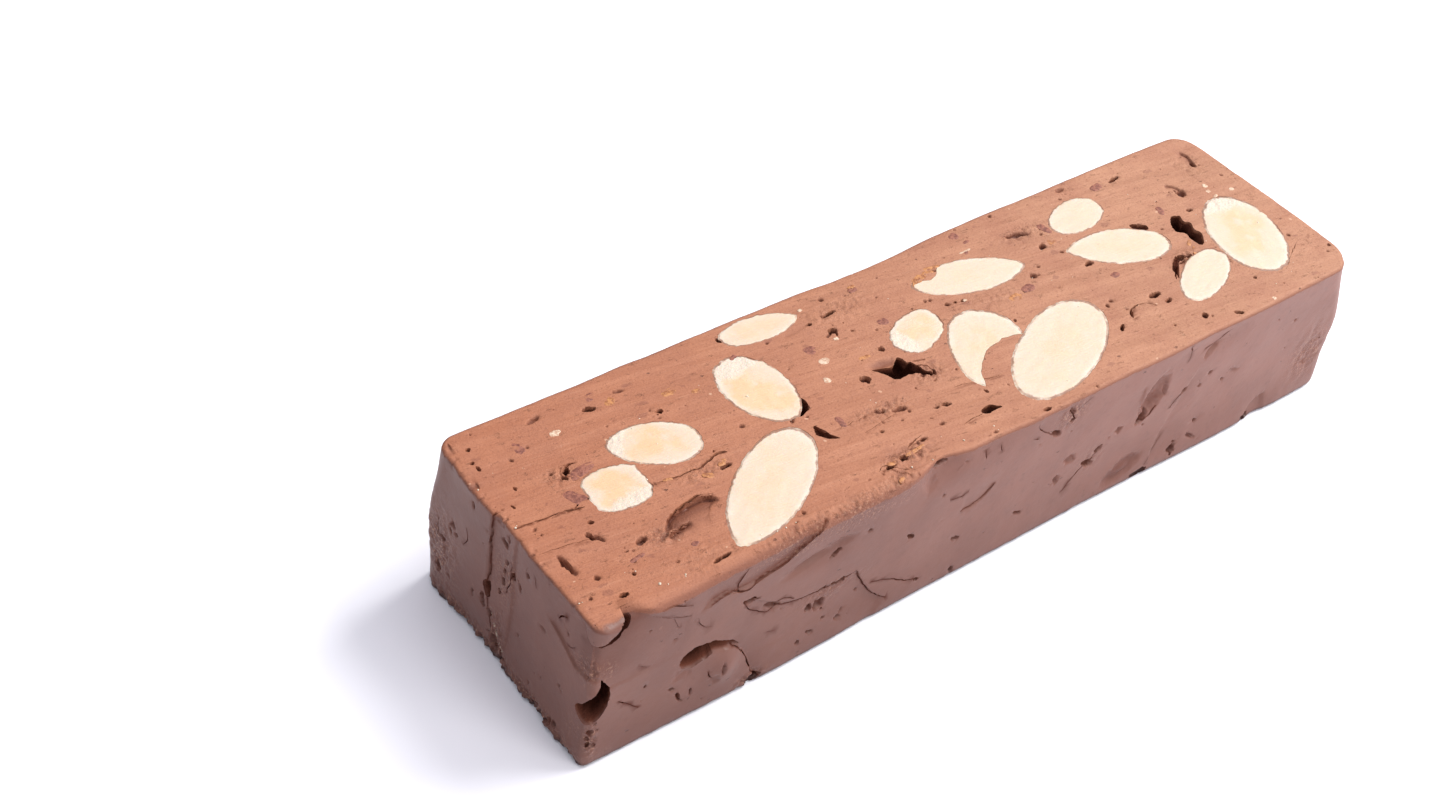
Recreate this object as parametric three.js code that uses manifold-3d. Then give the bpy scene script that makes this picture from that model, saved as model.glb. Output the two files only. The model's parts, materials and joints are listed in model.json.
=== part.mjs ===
// A chocolate nougat bar with whole almonds. The knife that cut the bar to size
// sliced the almonds flush with its top, so each one shows as a pale section.
// Units are millimetres and +Z is up. The origin is the middle of the underside,
// +X runs along the bar and the front long side faces -Y.
import * as THREE from 'three';
import { mergeVertices } from 'three/addons/utils/BufferGeometryUtils.js';
import Module from 'manifold-3d';

const wasm = await Module();
wasm.setup();

// ---- Driving dimensions ----
// Places are given as along (from the left end), across (from the front side)
// and up (from the underside), because that is how a bar is measured.
const LENGTH = 155.4;
const WIDTH = 40.8;
const HEIGHT = 27;

const TOP_EDGE = 0.6; // radius where the cut top meets the sides
const FOOT_EDGE = 0.5; // radius round the underside
const FOOT_SPREAD = 0.55; // the soft bar has settled, so its foot stands out this far
const SPREAD_REACH = 6; // height over which that dies away
const END_LEAN = 2.9; // the right end's top edge lies this far in from its foot
const LEAN_FROM = 12; // height where that lean begins
const LEAN_POWER = 1.15; // how much of the lean comes near the top
const FOLD_STEP = 0.4; // the left end's back part stands this proud of the rest
const FOLD_AT = 25; // across, where the left end is folded

// Corner radii seen from above, at the foot, half way up and at the top.
const LEAST_RADIUS = 0.3;
const CORNERS = {
  frontLeft: { foot: 1.1, middle: 1.2, top: 2 },
  backLeft: { foot: 3, middle: 1.6, top: 3.4 },
  frontRight: { foot: 5, middle: 3.6, top: 6.4 },
  backRight: { foot: 5, middle: 4, top: 4.8 },
};

// Slow unevenness of the pressed faces and of the cut top: two waves that cross.
const UNEVEN_DEPTH = 0.35;
const TOP_DIP = 0.25;
const WAVES = [
  { lengthS: 53, lengthZ: 69, phases: 1 },
  { lengthS: 119, lengthZ: -38, phases: 2.3 },
];
const FACE_PHASE = { front: 1.3, back: 4.1, left: 2.6, right: 0.4, top: 5.2 };
const FACE_FALLOFF = 6; // how quickly a side's relief dies away behind it

const GAP = 0.3; // clearance between an almond and the nougat round it
const ABOVE_CUT = 3; // the uncut kernel stands this far above the bar's top
const KERNEL_SIDES = 22;
const KERNEL_RINGS = 3;
const BITE_SIDES = 24;
const PIT_RAGGED = 0.16; // how far a pit's wall wanders, as a share of its half sizes

// The blank's grid: the width of the finer band at each edge, the steps across
// that band and the steps between the two bands.
const GRID = {
  along: { edge: 6, edgeSteps: 3, middleSteps: 36 },
  across: { edge: 6, edgeSteps: 3, middleSteps: 7 },
  up: { edge: 3, edgeSteps: 3, middleSteps: 5 },
};

const NOUGAT_COLOUR = '#9c6d58';
const ALMOND_COLOUR = '#f6e3c0';

// Wide shallow dents pressed into the sides. s is along on the long sides and
// across on the ends, z is up, and depth is how far the middle is pushed in. A
// negative depth is a bulge.
const DENTS = [
  { side: 'front', s: 60.5, z: 27, reachS: 4, reachZ: 4, depth: 1.4 },
  { side: 'front', s: 68, z: 27, reachS: 7, reachZ: 3, depth: 0.5 },
  { side: 'front', s: 38, z: 19.5, reachS: 6, reachZ: 1.6, depth: 0.5 },
  { side: 'front', s: 23, z: 7.4, reachS: 3, reachZ: 3, depth: -0.35 },
  { side: 'front', s: 1, z: 20.8, reachS: 4.6, reachZ: 2.8, depth: 1.2 },
  { side: 'front', s: 118, z: 24.5, reachS: 8, reachZ: 2.5, depth: 0.4 },
  { side: 'front', s: 137, z: 2.4, reachS: 3.2, reachZ: 3, depth: 0.5 },
  { side: 'front', s: 75, z: 14, reachS: 9, reachZ: 6, depth: 0.2 },
  { side: 'front', s: 38, z: 0, reachS: 24, reachZ: 4, depth: -0.25 },
  { side: 'front', s: 122, z: 0, reachS: 20, reachZ: 5, depth: -0.45 },
  { side: 'back', s: 34, z: 17, reachS: 9, reachZ: 5, depth: 0.8 },
  { side: 'back', s: 79, z: 27, reachS: 11, reachZ: 5, depth: 0.8 },
  { side: 'back', s: 121, z: 9, reachS: 7, reachZ: 5, depth: 0.7 },
  { side: 'left', s: 2.4, z: 20.8, reachS: 3.6, reachZ: 3, depth: 1.2 },
  { side: 'left', s: 31, z: 3, reachS: 6, reachZ: 3, depth: 0.4 },
  { side: 'left', s: 37, z: 11, reachS: 8, reachZ: 9, depth: -0.75 },
  { side: 'left', s: 4, z: 0, reachS: 8, reachZ: 4, depth: -0.5 },
  { side: 'left', s: 23, z: 0, reachS: 4, reachZ: 4, depth: 0.35 },
  { side: 'right', s: 14, z: 17, reachS: 6, reachZ: 4, depth: 0.6 },
  { side: 'right', s: 30, z: 6, reachS: 5, reachZ: 4, depth: 0.5 },
];

// Burst bubbles and torn pits that are cut right out: the middle, the half
// sizes, and the turn in degrees about Z, then Y.
const PITS = [
  { name: 'torn hole in the top', at: [66.9, 19, 27.2], half: [3.4, 2.2, 2.8], turn: -8 },
  { name: 'its ragged right end', at: [70.4, 18, 27.2], half: [2.4, 1.1, 1.6], turn: -35 },
  { name: 'long hole by the last almond', at: [132.9, 20.5, 27.2], half: [1.6, 4.2, 3], turn: -14 },
  { name: 'gouge in the top', at: [24, 12.4, 27.6], half: [4, 1.1, 1.7], turn: 12 },
  { name: 'slot near the front edge', at: [73.9, 5.1, 27.1], half: [1.9, 0.7, 1.6], turn: 0 },
  { name: 'slit beside the small almond', at: [124, 14.4, 27.1], half: [2.8, 0.5, 1.2], turn: 42 },
  { name: 'nick behind the third almond', at: [50, 20.2, 27.1], half: [0.8, 1.9, 1.6], turn: 24 },
  { name: 'cavity in the near corner', at: [0.7, 0.7, 12.4], half: [2.6, 2.6, 2.6], turn: 0, tip: 20 },
  { name: 'nick over the near corner', at: [3.2, -0.5, 24.8], half: [1.9, 1.3, 1.6], turn: 0, tip: 40 },
  { name: 'cavity over the buried almond', at: [17.6, -0.4, 12], half: [3.8, 1.7, 1.5], turn: 0, tip: 4 },
  { name: 'break in the front foot', at: [28, -0.5, 0.4], half: [1.8, 1.7, 1.4], turn: 0 },
  { name: 'dimple in the front', at: [106.8, -1, 18.4], half: [2, 2.6, 3], turn: 0, tip: 18 },
  { name: 'second break in the foot', at: [107.6, -0.6, 0.2], half: [1.8, 1.7, 1.2], turn: 0 },
  { name: 'third break in the foot', at: [134, -0.6, 0.1], half: [1.9, 1.6, 1.1], turn: 0 },
  { name: 'fold in the left end', at: [0, 24.9, 19.5], half: [1.5, 0.5, 8.6], turn: 0 },
  { name: 'hole at the foot of the fold', at: [-0.2, 24.9, 11.8], half: [1.8, 0.9, 1.5], turn: 0 },
  { name: 'break in the left foot', at: [-0.4, 9.4, 0.1], half: [1.3, 1.7, 1.2], turn: 0 },
  { name: 'bubble in the back', at: [52, 41.2, 14.5], half: [3, 2.4, 2.2], turn: 0, tip: -15 },
  { name: 'bubble low in the back', at: [97, 41.2, 6], half: [2.2, 1.9, 1.8], turn: 0 },
  { name: 'bubble in the right end', at: [155.4, 25, 13], half: [2, 2.6, 2], turn: 0 },
];

// The cut almonds, left to right. at is the section's middle, turn is how far its
// long axis is turned from the bar's, and deep is how far the kernel reaches below
// the cut. egg widens the leading end, tip and tail sharpen the two ends, square
// flattens the sides, and bite is a round bay broken out of the kernel.
const ALMONDS = [
  { at: [17.5, 20.6], long: 9.2, wide: 7.9, turn: -4, deep: 4, egg: 0.04, square: 0.45 },
  { at: [26.7, 24.9], long: 14.2, wide: 8.4, turn: -24, deep: 4.4, egg: 0.14, tail: 0.14, square: 0.08 },
  { at: [46.5, 26.3], long: 15.6, wide: 10.3, turn: 94, deep: 4, egg: 0.05, tail: 0.08, square: 0.07 },
  { at: [35.9, 9.9], long: 25.1, wide: 10.5, turn: 32, deep: 4.6, egg: 0.1, tail: 0.15, square: 0.03 },
  { at: [54.9, 36.9], long: 13.8, wide: 5.4, turn: -5, deep: 3.4, egg: -0.1, tip: 0.2, square: 0.04 },
  { at: [75.6, 24.1], long: 10.9, wide: 6.9, turn: 22, deep: 4, tail: 0.05, square: 0.1 },
  { at: [82.4, 15.9], long: 17.5, wide: 11.6, turn: 48, deep: 4.2, egg: 0.24,
    bite: { at: [86.1, 5.6], radius: 10.5 } },
  { at: [92.4, 10], long: 26.5, wide: 12.3, turn: 25, deep: 4.8, egg: 0.04, tail: 0.03, square: 0.05 },
  { at: [91.8, 30], long: 20.8, wide: 7.8, turn: -12, deep: 4.4, egg: -0.05, tip: 0.2, tail: 0.12,
    bite: { at: [85.6, 36.2], radius: 3.9 } },
  { at: [118.2, 32.6], long: 12.2, wide: 7, turn: 10, deep: 4, egg: 0.05, square: 0.05 },
  { at: [118.9, 23.3], long: 18.7, wide: 8.6, turn: -21, deep: 4.4, egg: 0.15, tail: 0.25 },
  { at: [126.2, 10.9], long: 15.2, wide: 7, turn: 25, deep: 4, egg: 0.08, tail: 0.05, square: 0.05 },
  { at: [140.6, 15], long: 20, wide: 12.9, turn: 67, deep: 4.6, tip: 0.05, square: 0.03 },
];

const radians = THREE.MathUtils.degToRad;
const clamp = THREE.MathUtils.clamp;
const smooth = THREE.MathUtils.smoothstep;

// A place on the bar, measured as above, in the part's own frame.
const place = (along, across, up) => new THREE.Vector3(along - LENGTH / 2, across - WIDTH / 2, up);

// ---- Geometry to solid and back ----
function solidOf(geometry) {
  const bare = new THREE.BufferGeometry().setAttribute('position', geometry.getAttribute('position'));
  bare.setIndex(geometry.index);
  const merged = mergeVertices(bare, 1e-4);
  return new wasm.Manifold(new wasm.Mesh({
    numProp: 3,
    vertProperties: new Float32Array(merged.attributes.position.array),
    triVerts: new Uint32Array(merged.index.array),
  }));
}

function geometryOf(solid) {
  const { numProp, vertProperties, triVerts } = solid.getMesh();
  const points = new Float32Array((vertProperties.length / numProp) * 3);
  for (let i = 0; i < points.length / 3; i++) {
    points.set(vertProperties.subarray(i * numProp, i * numProp + 3), i * 3);
  }
  const geometry = new THREE.BufferGeometry().setAttribute('position', new THREE.BufferAttribute(points, 3));
  return geometry.setIndex(new THREE.BufferAttribute(triVerts, 1));
}

// ---- The bar before anything is cut out of it ----

// Grid lines across a size, from minus to plus half of it.
function gridLines(size, { edge, edgeSteps, middleSteps }) {
  const half = size / 2;
  const lines = [];
  for (let i = 0; i < edgeSteps; i++) lines.push(-half + (edge * i) / edgeSteps);
  for (let i = 0; i <= middleSteps; i++) lines.push(-half + edge + ((size - 2 * edge) * i) / middleSteps);
  for (let i = edgeSteps - 1; i >= 0; i--) lines.push(half - (edge * i) / edgeSteps);
  return lines;
}

// A closed box of grid squares, each corner moved by shape(x, y, z).
function gridBox(xs, ys, zs, shape) {
  const points = [];
  const index = [];
  const seen = new Map();
  const vertex = (i, j, k) => {
    const key = `${i},${j},${k}`;
    if (!seen.has(key)) {
      seen.set(key, seen.size);
      points.push(...shape(xs[i], ys[j], zs[k]).toArray());
    }
    return seen.get(key);
  };
  const square = (a, b, c, d) => index.push(a, b, c, a, c, d);
  const [nx, ny, nz] = [xs.length - 1, ys.length - 1, zs.length - 1];
  for (let i = 0; i < nx; i++) {
    for (let j = 0; j < ny; j++) {
      square(vertex(i, j, 0), vertex(i, j + 1, 0), vertex(i + 1, j + 1, 0), vertex(i + 1, j, 0));
      square(vertex(i, j, nz), vertex(i + 1, j, nz), vertex(i + 1, j + 1, nz), vertex(i, j + 1, nz));
    }
    for (let k = 0; k < nz; k++) {
      square(vertex(i, 0, k), vertex(i + 1, 0, k), vertex(i + 1, 0, k + 1), vertex(i, 0, k + 1));
      square(vertex(i, ny, k), vertex(i, ny, k + 1), vertex(i + 1, ny, k + 1), vertex(i + 1, ny, k));
    }
  }
  for (let j = 0; j < ny; j++) {
    for (let k = 0; k < nz; k++) {
      square(vertex(0, j, k), vertex(0, j, k + 1), vertex(0, j + 1, k + 1), vertex(0, j + 1, k));
      square(vertex(nx, j, k), vertex(nx, j + 1, k), vertex(nx, j + 1, k + 1), vertex(nx, j, k + 1));
    }
  }
  const geometry = new THREE.BufferGeometry();
  geometry.setAttribute('position', new THREE.Float32BufferAttribute(points, 3));
  return geometry.setIndex(index);
}

// How far the outline draws in at a height, to round the top and foot edges.
function edgeInset(z) {
  const roundIn = (radius, past) => radius - Math.sqrt(radius ** 2 - clamp(past, 0, radius) ** 2);
  return roundIn(FOOT_EDGE, FOOT_EDGE - z) + roundIn(TOP_EDGE, z - (HEIGHT - TOP_EDGE));
}

function cornerRadius(x, y, z) {
  const corner = CORNERS[(y < 0 ? 'front' : 'back') + (x < 0 ? 'Left' : 'Right')];
  const half = HEIGHT / 2;
  return z < half
    ? THREE.MathUtils.lerp(corner.foot, corner.middle, smooth(z, 0, half))
    : THREE.MathUtils.lerp(corner.middle, corner.top, smooth(z, half, HEIGHT));
}

// The unevenness of a face at a place on it, from 0 to 1.
const unevenness = (face, s, z) => WAVES.reduce((sum, { lengthS, lengthZ, phases }) => {
  const angle = 2 * Math.PI * (s / lengthS + z / lengthZ) + phases * FACE_PHASE[face];
  return sum + (0.5 + 0.5 * Math.sin(angle)) / WAVES.length;
}, 0);

const dentDepth = (side, s, z) => DENTS.filter((dent) => dent.side === side).reduce(
  (sum, dent) => sum + dent.depth
    * Math.exp(-(((s - dent.s) / dent.reachS) ** 2) - ((z - dent.z) / dent.reachZ) ** 2), 0);

// Moves a point of the rounded box in by the relief of the sides it lies near.
function withRelief(p) {
  const along = p.x + LENGTH / 2;
  const across = p.y + WIDTH / 2;
  const up = p.z;
  const near = (share) => clamp(share, 0, 1) ** FACE_FALLOFF;
  const fold = FOLD_STEP * (1 - smooth(across, FOLD_AT - FOLD_STEP, FOLD_AT + FOLD_STEP));
  const lean = END_LEAN * clamp((up - LEAN_FROM) / (HEIGHT - LEAN_FROM), 0, 1) ** LEAN_POWER;
  const spread = FOOT_SPREAD * Math.exp(-((up / SPREAD_REACH) ** 2));
  const press = (side, s) => UNEVEN_DEPTH * unevenness(side, s, up) - spread + dentDepth(side, s, up);
  p.y += near((-2 * p.y) / WIDTH) * press('front', along);
  p.y -= near((2 * p.y) / WIDTH) * press('back', along);
  p.x += near((-2 * p.x) / LENGTH) * (press('left', across) + fold);
  p.x -= near((2 * p.x) / LENGTH) * (press('right', across) + lean);
  p.z -= TOP_DIP * smooth(up, HEIGHT / 2, HEIGHT) * unevenness('top', along, across);
  return p;
}

function barShape(x, y, z) {
  const inset = edgeInset(z);
  const [halfX, halfY] = [LENGTH / 2 - inset, WIDTH / 2 - inset];
  const radius = Math.max(cornerRadius(x, y, z) - inset, LEAST_RADIUS);
  let [px, py] = [Math.abs(x) * (halfX / (LENGTH / 2)), Math.abs(y) * (halfY / (WIDTH / 2))];
  const [q, t] = [(px - halfX + radius) / radius, (py - halfY + radius) / radius];
  if (q > 0 && t > 0) {
    px = halfX - radius + radius * q * Math.sqrt(1 - (t * t) / 2);
    py = halfY - radius + radius * t * Math.sqrt(1 - (q * q) / 2);
  }
  return withRelief(new THREE.Vector3(Math.sign(x) * px, Math.sign(y) * py, z));
}

function barBlank() {
  const xs = gridLines(LENGTH, GRID.along);
  const ys = gridLines(WIDTH, GRID.across);
  const zs = gridLines(HEIGHT, GRID.up).map((z) => z + HEIGHT / 2);
  return solidOf(gridBox(xs, ys, zs, barShape));
}

// ---- What is cut out of it ----
function pitSolid({ at, half, turn, tip = 0 }) {
  const geometry = new THREE.IcosahedronGeometry(1, 1);
  geometry.deleteAttribute('normal');
  geometry.deleteAttribute('uv');
  const wall = geometry.attributes.position;
  for (let i = 0; i < wall.count; i++) {
    const [x, y, z] = [wall.getX(i), wall.getY(i), wall.getZ(i)];
    const out = 1 + PIT_RAGGED * Math.sin(7 * x + 5 * y + 4 * z + at[0]);
    wall.setXYZ(i, x * out, y * out, z * out);
  }
  geometry.scale(...half).rotateY(radians(tip)).rotateZ(radians(turn));
  geometry.translate(...place(...at).toArray());
  return solidOf(geometry);
}

// The outline of a section as points round its own middle, widened by grow.
function sectionOutline({ long, wide, egg = 0, tip = 0, tail = 0, square = 0 }, grow) {
  const points = [];
  for (let i = 0; i < KERNEL_SIDES; i++) {
    const angle = (2 * Math.PI * i) / KERNEL_SIDES;
    const [c, s] = [Math.cos(angle), Math.sin(angle)];
    const blunt = 1 - square;
    const sharp = 1 + tip * (1 + c) + tail * (1 - c);
    const u = Math.sign(c) * Math.abs(c) ** blunt;
    const v = Math.sign(s) * Math.abs(s) ** (blunt * sharp) * (1 + egg * c);
    points.push(new THREE.Vector2(u * (long / 2 + grow), v * (wide / 2 + grow)));
  }
  return points;
}

// The whole kernel: a round-bottomed bowl of rings, and a straight stub above.
function kernelSolid(almond, grow = 0) {
  const outline = sectionOutline(almond, grow);
  const deep = almond.deep + grow;
  const points = [0, 0, HEIGHT - deep];
  for (let ring = 1; ring <= KERNEL_RINGS + 1; ring++) {
    const angle = (Math.PI / 2) * Math.min(ring / KERNEL_RINGS, 1);
    const up = ring > KERNEL_RINGS ? HEIGHT + ABOVE_CUT : HEIGHT - deep * Math.cos(angle);
    outline.forEach((p) => points.push(p.x * Math.sin(angle), p.y * Math.sin(angle), up));
  }
  points.push(0, 0, HEIGHT + ABOVE_CUT);
  const n = KERNEL_SIDES;
  const last = 1 + (KERNEL_RINGS + 1) * n;
  const index = [];
  for (let i = 0; i < n; i++) {
    const next = (i + 1) % n;
    index.push(0, 1 + next, 1 + i);
    for (let ring = 0; ring < KERNEL_RINGS; ring++) {
      const [a, b] = [1 + ring * n + i, 1 + ring * n + next];
      index.push(a, b, b + n, a, b + n, a + n);
    }
    index.push(last, last - n + i, last - n + next);
  }
  const geometry = new THREE.BufferGeometry();
  geometry.setAttribute('position', new THREE.Float32BufferAttribute(points, 3));
  geometry.setIndex(index).rotateZ(radians(almond.turn));
  geometry.translate(...place(...almond.at, 0).toArray());
  const kernel = solidOf(geometry);
  return almond.bite ? kernel.subtract(biteSolid(almond.bite, grow)) : kernel;
}

// The round bay that a broken almond is missing.
function biteSolid({ at, radius }, grow) {
  const geometry = new THREE.CylinderGeometry(radius - grow, radius - grow, 2 * HEIGHT, BITE_SIDES);
  geometry.deleteAttribute('normal');
  geometry.deleteAttribute('uv');
  geometry.rotateX(Math.PI / 2).translate(...place(...at, HEIGHT).toArray());
  return solidOf(geometry);
}

// ---- Assembly ----
const blank = barBlank();
const pits = wasm.Manifold.union(PITS.map(pitSolid));
const pockets = wasm.Manifold.union(ALMONDS.map((almond) => kernelSolid(almond, GAP)));

const bar = new THREE.Group();

const nougat = new THREE.Mesh(
  geometryOf(blank.subtract(pockets).subtract(pits)),
  new THREE.MeshStandardMaterial({ color: NOUGAT_COLOUR, roughness: 0.55, metalness: 0 }),
);
nougat.name = 'nougat';
bar.add(nougat);

const almondMaterial = new THREE.MeshStandardMaterial({
  color: ALMOND_COLOUR, roughness: 0.6, metalness: 0,
});
ALMONDS.forEach((almond, i) => {
  const mesh = new THREE.Mesh(geometryOf(kernelSolid(almond).intersect(blank)), almondMaterial.clone());
  mesh.name = `almond_${String(i + 1).padStart(2, '0')}`;
  bar.add(mesh);
});

export default bar;
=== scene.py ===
"""Looks of a cut bar of chocolate nougat with whole almonds.

The knife left the top light and streaky and sliced the almonds flush with it, while
the sides were pressed in a frame and are darker, smoother and creased.

Lengths are millimetres until a mesh is made. A place on the bar is given as along
(from the left end), across (from the front side) and up (from the underside). On a
face, s and t stand for along and across on the top, along and up on the long sides,
and across and up on the ends.
"""
import itertools
import json
import math

import bmesh
import bpy
import numpy as np
from mathutils import Matrix, Vector
from mathutils.bvhtree import BVHTree

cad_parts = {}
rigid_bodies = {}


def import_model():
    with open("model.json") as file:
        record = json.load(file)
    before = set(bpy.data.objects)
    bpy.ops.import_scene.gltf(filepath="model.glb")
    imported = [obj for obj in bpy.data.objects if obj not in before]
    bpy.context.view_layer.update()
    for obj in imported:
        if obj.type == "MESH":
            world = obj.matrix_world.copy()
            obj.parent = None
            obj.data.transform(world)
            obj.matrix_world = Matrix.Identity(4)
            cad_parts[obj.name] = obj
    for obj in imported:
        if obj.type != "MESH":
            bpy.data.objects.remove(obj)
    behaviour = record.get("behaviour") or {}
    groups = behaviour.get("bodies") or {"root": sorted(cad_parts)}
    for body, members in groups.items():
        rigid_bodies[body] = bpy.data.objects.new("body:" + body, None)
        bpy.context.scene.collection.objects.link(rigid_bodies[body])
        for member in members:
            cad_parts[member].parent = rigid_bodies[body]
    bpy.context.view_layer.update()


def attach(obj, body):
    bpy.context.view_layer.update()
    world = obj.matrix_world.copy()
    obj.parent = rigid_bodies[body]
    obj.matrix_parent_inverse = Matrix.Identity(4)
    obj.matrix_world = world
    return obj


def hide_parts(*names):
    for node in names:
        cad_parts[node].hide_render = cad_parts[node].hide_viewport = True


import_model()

MM = 0.001
LENGTH = 155.4
WIDTH = 40.8
HEIGHT = 27.0

# The same form as the solid: edges, corners, the foot's spread, the right end's
# lean and the left end's fold.
TOP_EDGE = 0.5
FOOT_EDGE = 0.8
LIP_EDGE = 1.7  # the front edge is rounder than the others up to LIP_TO
LIP_TO = 54.0
LIP_FADE = 4.0
LIP_FROM = (-1.0, 5.0)
FOOT_SPREAD = 0.55
SPREAD_REACH = 6.0
END_LEAN = 2.9
LEAN_FROM = 12.0
LEAN_POWER = 1.15
FOLD_STEP = 0.4
FOLD_AT = 25.0
FOLD_SHARP = 0.2
FOLD_REACH = 9.0
FOLD_RISE = (9.0, 15.0)  # the fold starts between these heights
LEAST_RADIUS = 0.3
CORNERS = {  # radius at the foot, half way up and at the top
    ("front", "left"): (1.1, 1.2, 2.0),
    ("back", "left"): (3.0, 1.6, 3.2),
    ("front", "right"): (5.0, 3.6, 6.4),
    ("back", "right"): (5.0, 4.0, 4.8),
}

UNEVEN_DEPTH = 0.35
TOP_DIP = 0.25
WAVES = ((53.0, 69.0, 1.0), (119.0, -38.0, 2.3))  # length in s, length in t, phases
FACE_PHASE = {"front": 1.3, "back": 4.1, "left": 2.6, "right": 0.4, "top": 5.2}
FACE_FALLOFF = 6

STEP = 0.2  # grid of the fine surface
NOUGAT_TRIANGLES = 195000
MARK_REACH = 1.5  # a face's fine marks fade out over this distance behind it
STREAK_TURN = -7.0  # the knife was drawn at this angle to the bar

# Wide shallow dents: s, t, reach in s, reach in t, depth.
DENTS = {
    "front": [
        (60.5, 27, 4, 4, 1.4), (68, 27, 7, 3, 0.5), (22.9, 7, 2.5, 2.9, -0.95), (0.5, 20, 3.6, 3, 0.7),
        (118, 24.5, 8, 2.5, 0.4), (137, 2.4, 3.2, 3, 0.5), (38, 19.5, 6, 1.6, 0.5), (75, 14, 9, 6, 0.2),
        (99, 9, 6, 6, 0.2), (48, 7.5, 4, 5, 0.25), (38, 0, 24, 4, -0.25), (122, 0, 20, 5, -0.45),
        (103.4, 3.9, 2.6, 1.1, -0.7), (106.7, 18.8, 1.4, 1.3, -0.5),
    ],
    "back": [(34, 17, 9, 5, 0.8), (79, 27, 11, 5, 0.8), (121, 9, 7, 5, 0.7)],
    "left": [
        (31, 3, 6, 3, 0.4), (20, 20, 4, 12, 0.2), (37, 11, 8, 9, -0.75), (4, 0, 8, 4, -0.5),
        (23, 0, 4, 4, 0.35), (1.5, 20.5, 3.2, 2.8, 0.6), (38.5, 27, 5, 7, 0.7),
    ],
    "right": [(14, 17, 6, 4, 0.6), (30, 6, 5, 4, 0.5)],
}


def lerp(a, b, t):
    return a + (b - a) * t


def smooth(x, low, high):
    t = np.clip((x - low) / (high - low), 0, 1)
    return t * t * (3 - 2 * t)


LATTICE = 48
FINER_SHARE = 0.5  # each octave of noise is this much weaker
FINER_SIZE = 0.47  # and this much finer than the one before


class Noise:
    """Smooth, repeatable noise from -1 to 1 at points in mm."""

    def __init__(self, seed):
        self.table = np.random.default_rng(seed).uniform(-1, 1, (LATTICE,) * 3)

    def __call__(self, points, lump, octaves=1):
        total, share, size = 0.0, 1.0, np.asarray(lump, float)
        for _ in range(octaves):
            total = total + share * self.single(points / size)
            share, size = share * FINER_SHARE, size * FINER_SIZE
        return total

    def single(self, q):
        cell = np.floor(q).astype(int)
        part = q - cell
        part = part * part * (3 - 2 * part)
        total = np.zeros(len(q))
        for corner in itertools.product((0, 1), repeat=3):
            weight = np.prod(np.where(corner, part, 1 - part), axis=1)
            i, j, k = ((cell + corner) % LATTICE).T
            total += weight * self.table[i, j, k]
        return total


def turned(points, degrees):
    c, s = math.cos(math.radians(degrees)), math.sin(math.radians(degrees))
    x, y = points[:, 0], points[:, 1]
    return np.column_stack([x * c - y * s, x * s + y * c, points[:, 2:]])


def circle(sides):
    angle = np.linspace(0, 2 * math.pi, sides, endpoint=False)
    return np.cos(angle), np.sin(angle)


def raised(flat, up):
    """Flat points with a third value, the same for all or one for each."""
    return np.column_stack([flat, np.broadcast_to(up, len(flat))])


def rotation(degrees, axis, size=4):
    return Matrix.Rotation(math.radians(degrees), size, axis)


# ---- The bar's own form ----
def grid_lines(size, step):
    return np.linspace(-size / 2, size / 2, int(round(size / step)) + 1)


def grid_box(step):
    """A closed box of grid squares: its points, and its squares facing out."""
    xs, ys = grid_lines(LENGTH, step), grid_lines(WIDTH, step)
    zs = grid_lines(HEIGHT, step) + HEIGHT / 2
    nx, ny, nz = len(xs), len(ys), len(zs)
    quads = []

    def at(i, j, k):
        return (i * ny + j) * nz + k

    def face(a, b, point):
        p, q = np.meshgrid(np.arange(a - 1), np.arange(b - 1), indexing="ij")
        corners = [(p, q), (p + 1, q), (p + 1, q + 1), (p, q + 1)]
        quads.append(np.stack([point(u, v).ravel() for u, v in corners], axis=1))

    face(ny, nx, lambda j, i: at(i, j, 0))
    face(nx, ny, lambda i, j: at(i, j, nz - 1))
    face(nx, nz, lambda i, k: at(i, 0, k))
    face(nz, nx, lambda k, i: at(i, ny - 1, k))
    face(nz, ny, lambda k, j: at(0, j, k))
    face(ny, nz, lambda j, k: at(nx - 1, j, k))
    ids, index = np.unique(np.concatenate(quads), return_inverse=True)
    i, rest = np.divmod(ids, ny * nz)
    j, k = np.divmod(rest, nz)
    return np.stack([xs[i], ys[j], zs[k]], axis=1), index.reshape(-1, 4)


def round_in(radius, past):
    return radius - np.sqrt(radius ** 2 - np.clip(past, 0, radius) ** 2)


def corner_radius(x, y, z):
    radius = np.zeros(len(x))
    for (side, end), (foot, middle, top) in CORNERS.items():
        here = ((y < 0) == (side == "front")) & ((x < 0) == (end == "left"))
        low = lerp(foot, middle, smooth(z, 0, HEIGHT / 2))
        high = lerp(middle, top, smooth(z, HEIGHT / 2, HEIGHT))
        radius = np.where(here, np.where(z < HEIGHT / 2, low, high), radius)
    return radius


def unevenness(face, s, t):
    total = 0.0
    for length_s, length_t, phases in WAVES:
        angle = 2 * math.pi * (s / length_s + t / length_t) + phases * FACE_PHASE[face]
        total = total + (0.5 + 0.5 * np.sin(angle)) / len(WAVES)
    return total


def press(face, s, t):
    depth = UNEVEN_DEPTH * unevenness(face, s, t)
    depth = depth - FOOT_SPREAD * np.exp(-(t / SPREAD_REACH) ** 2)
    for at_s, at_t, reach_s, reach_t, deep in DENTS[face]:
        depth = depth + deep * np.exp(-((s - at_s) / reach_s) ** 2 - ((t - at_t) / reach_t) ** 2)
    return depth


def lip_radius(along):
    far = smooth(along, LIP_TO - LIP_FADE, LIP_TO + LIP_FADE)
    return LIP_EDGE * (1 - far) * smooth(along, *LIP_FROM)


def top_height(along, across):
    """The height of the cut top where it isn't marked."""
    return HEIGHT - TOP_DIP * unevenness("top", along, across)


def top_over(points):
    """The height of the unmarked cut top over points that are in their place."""
    return top_height(points[:, 0] + LENGTH / 2, points[:, 1] + WIDTH / 2)


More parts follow.
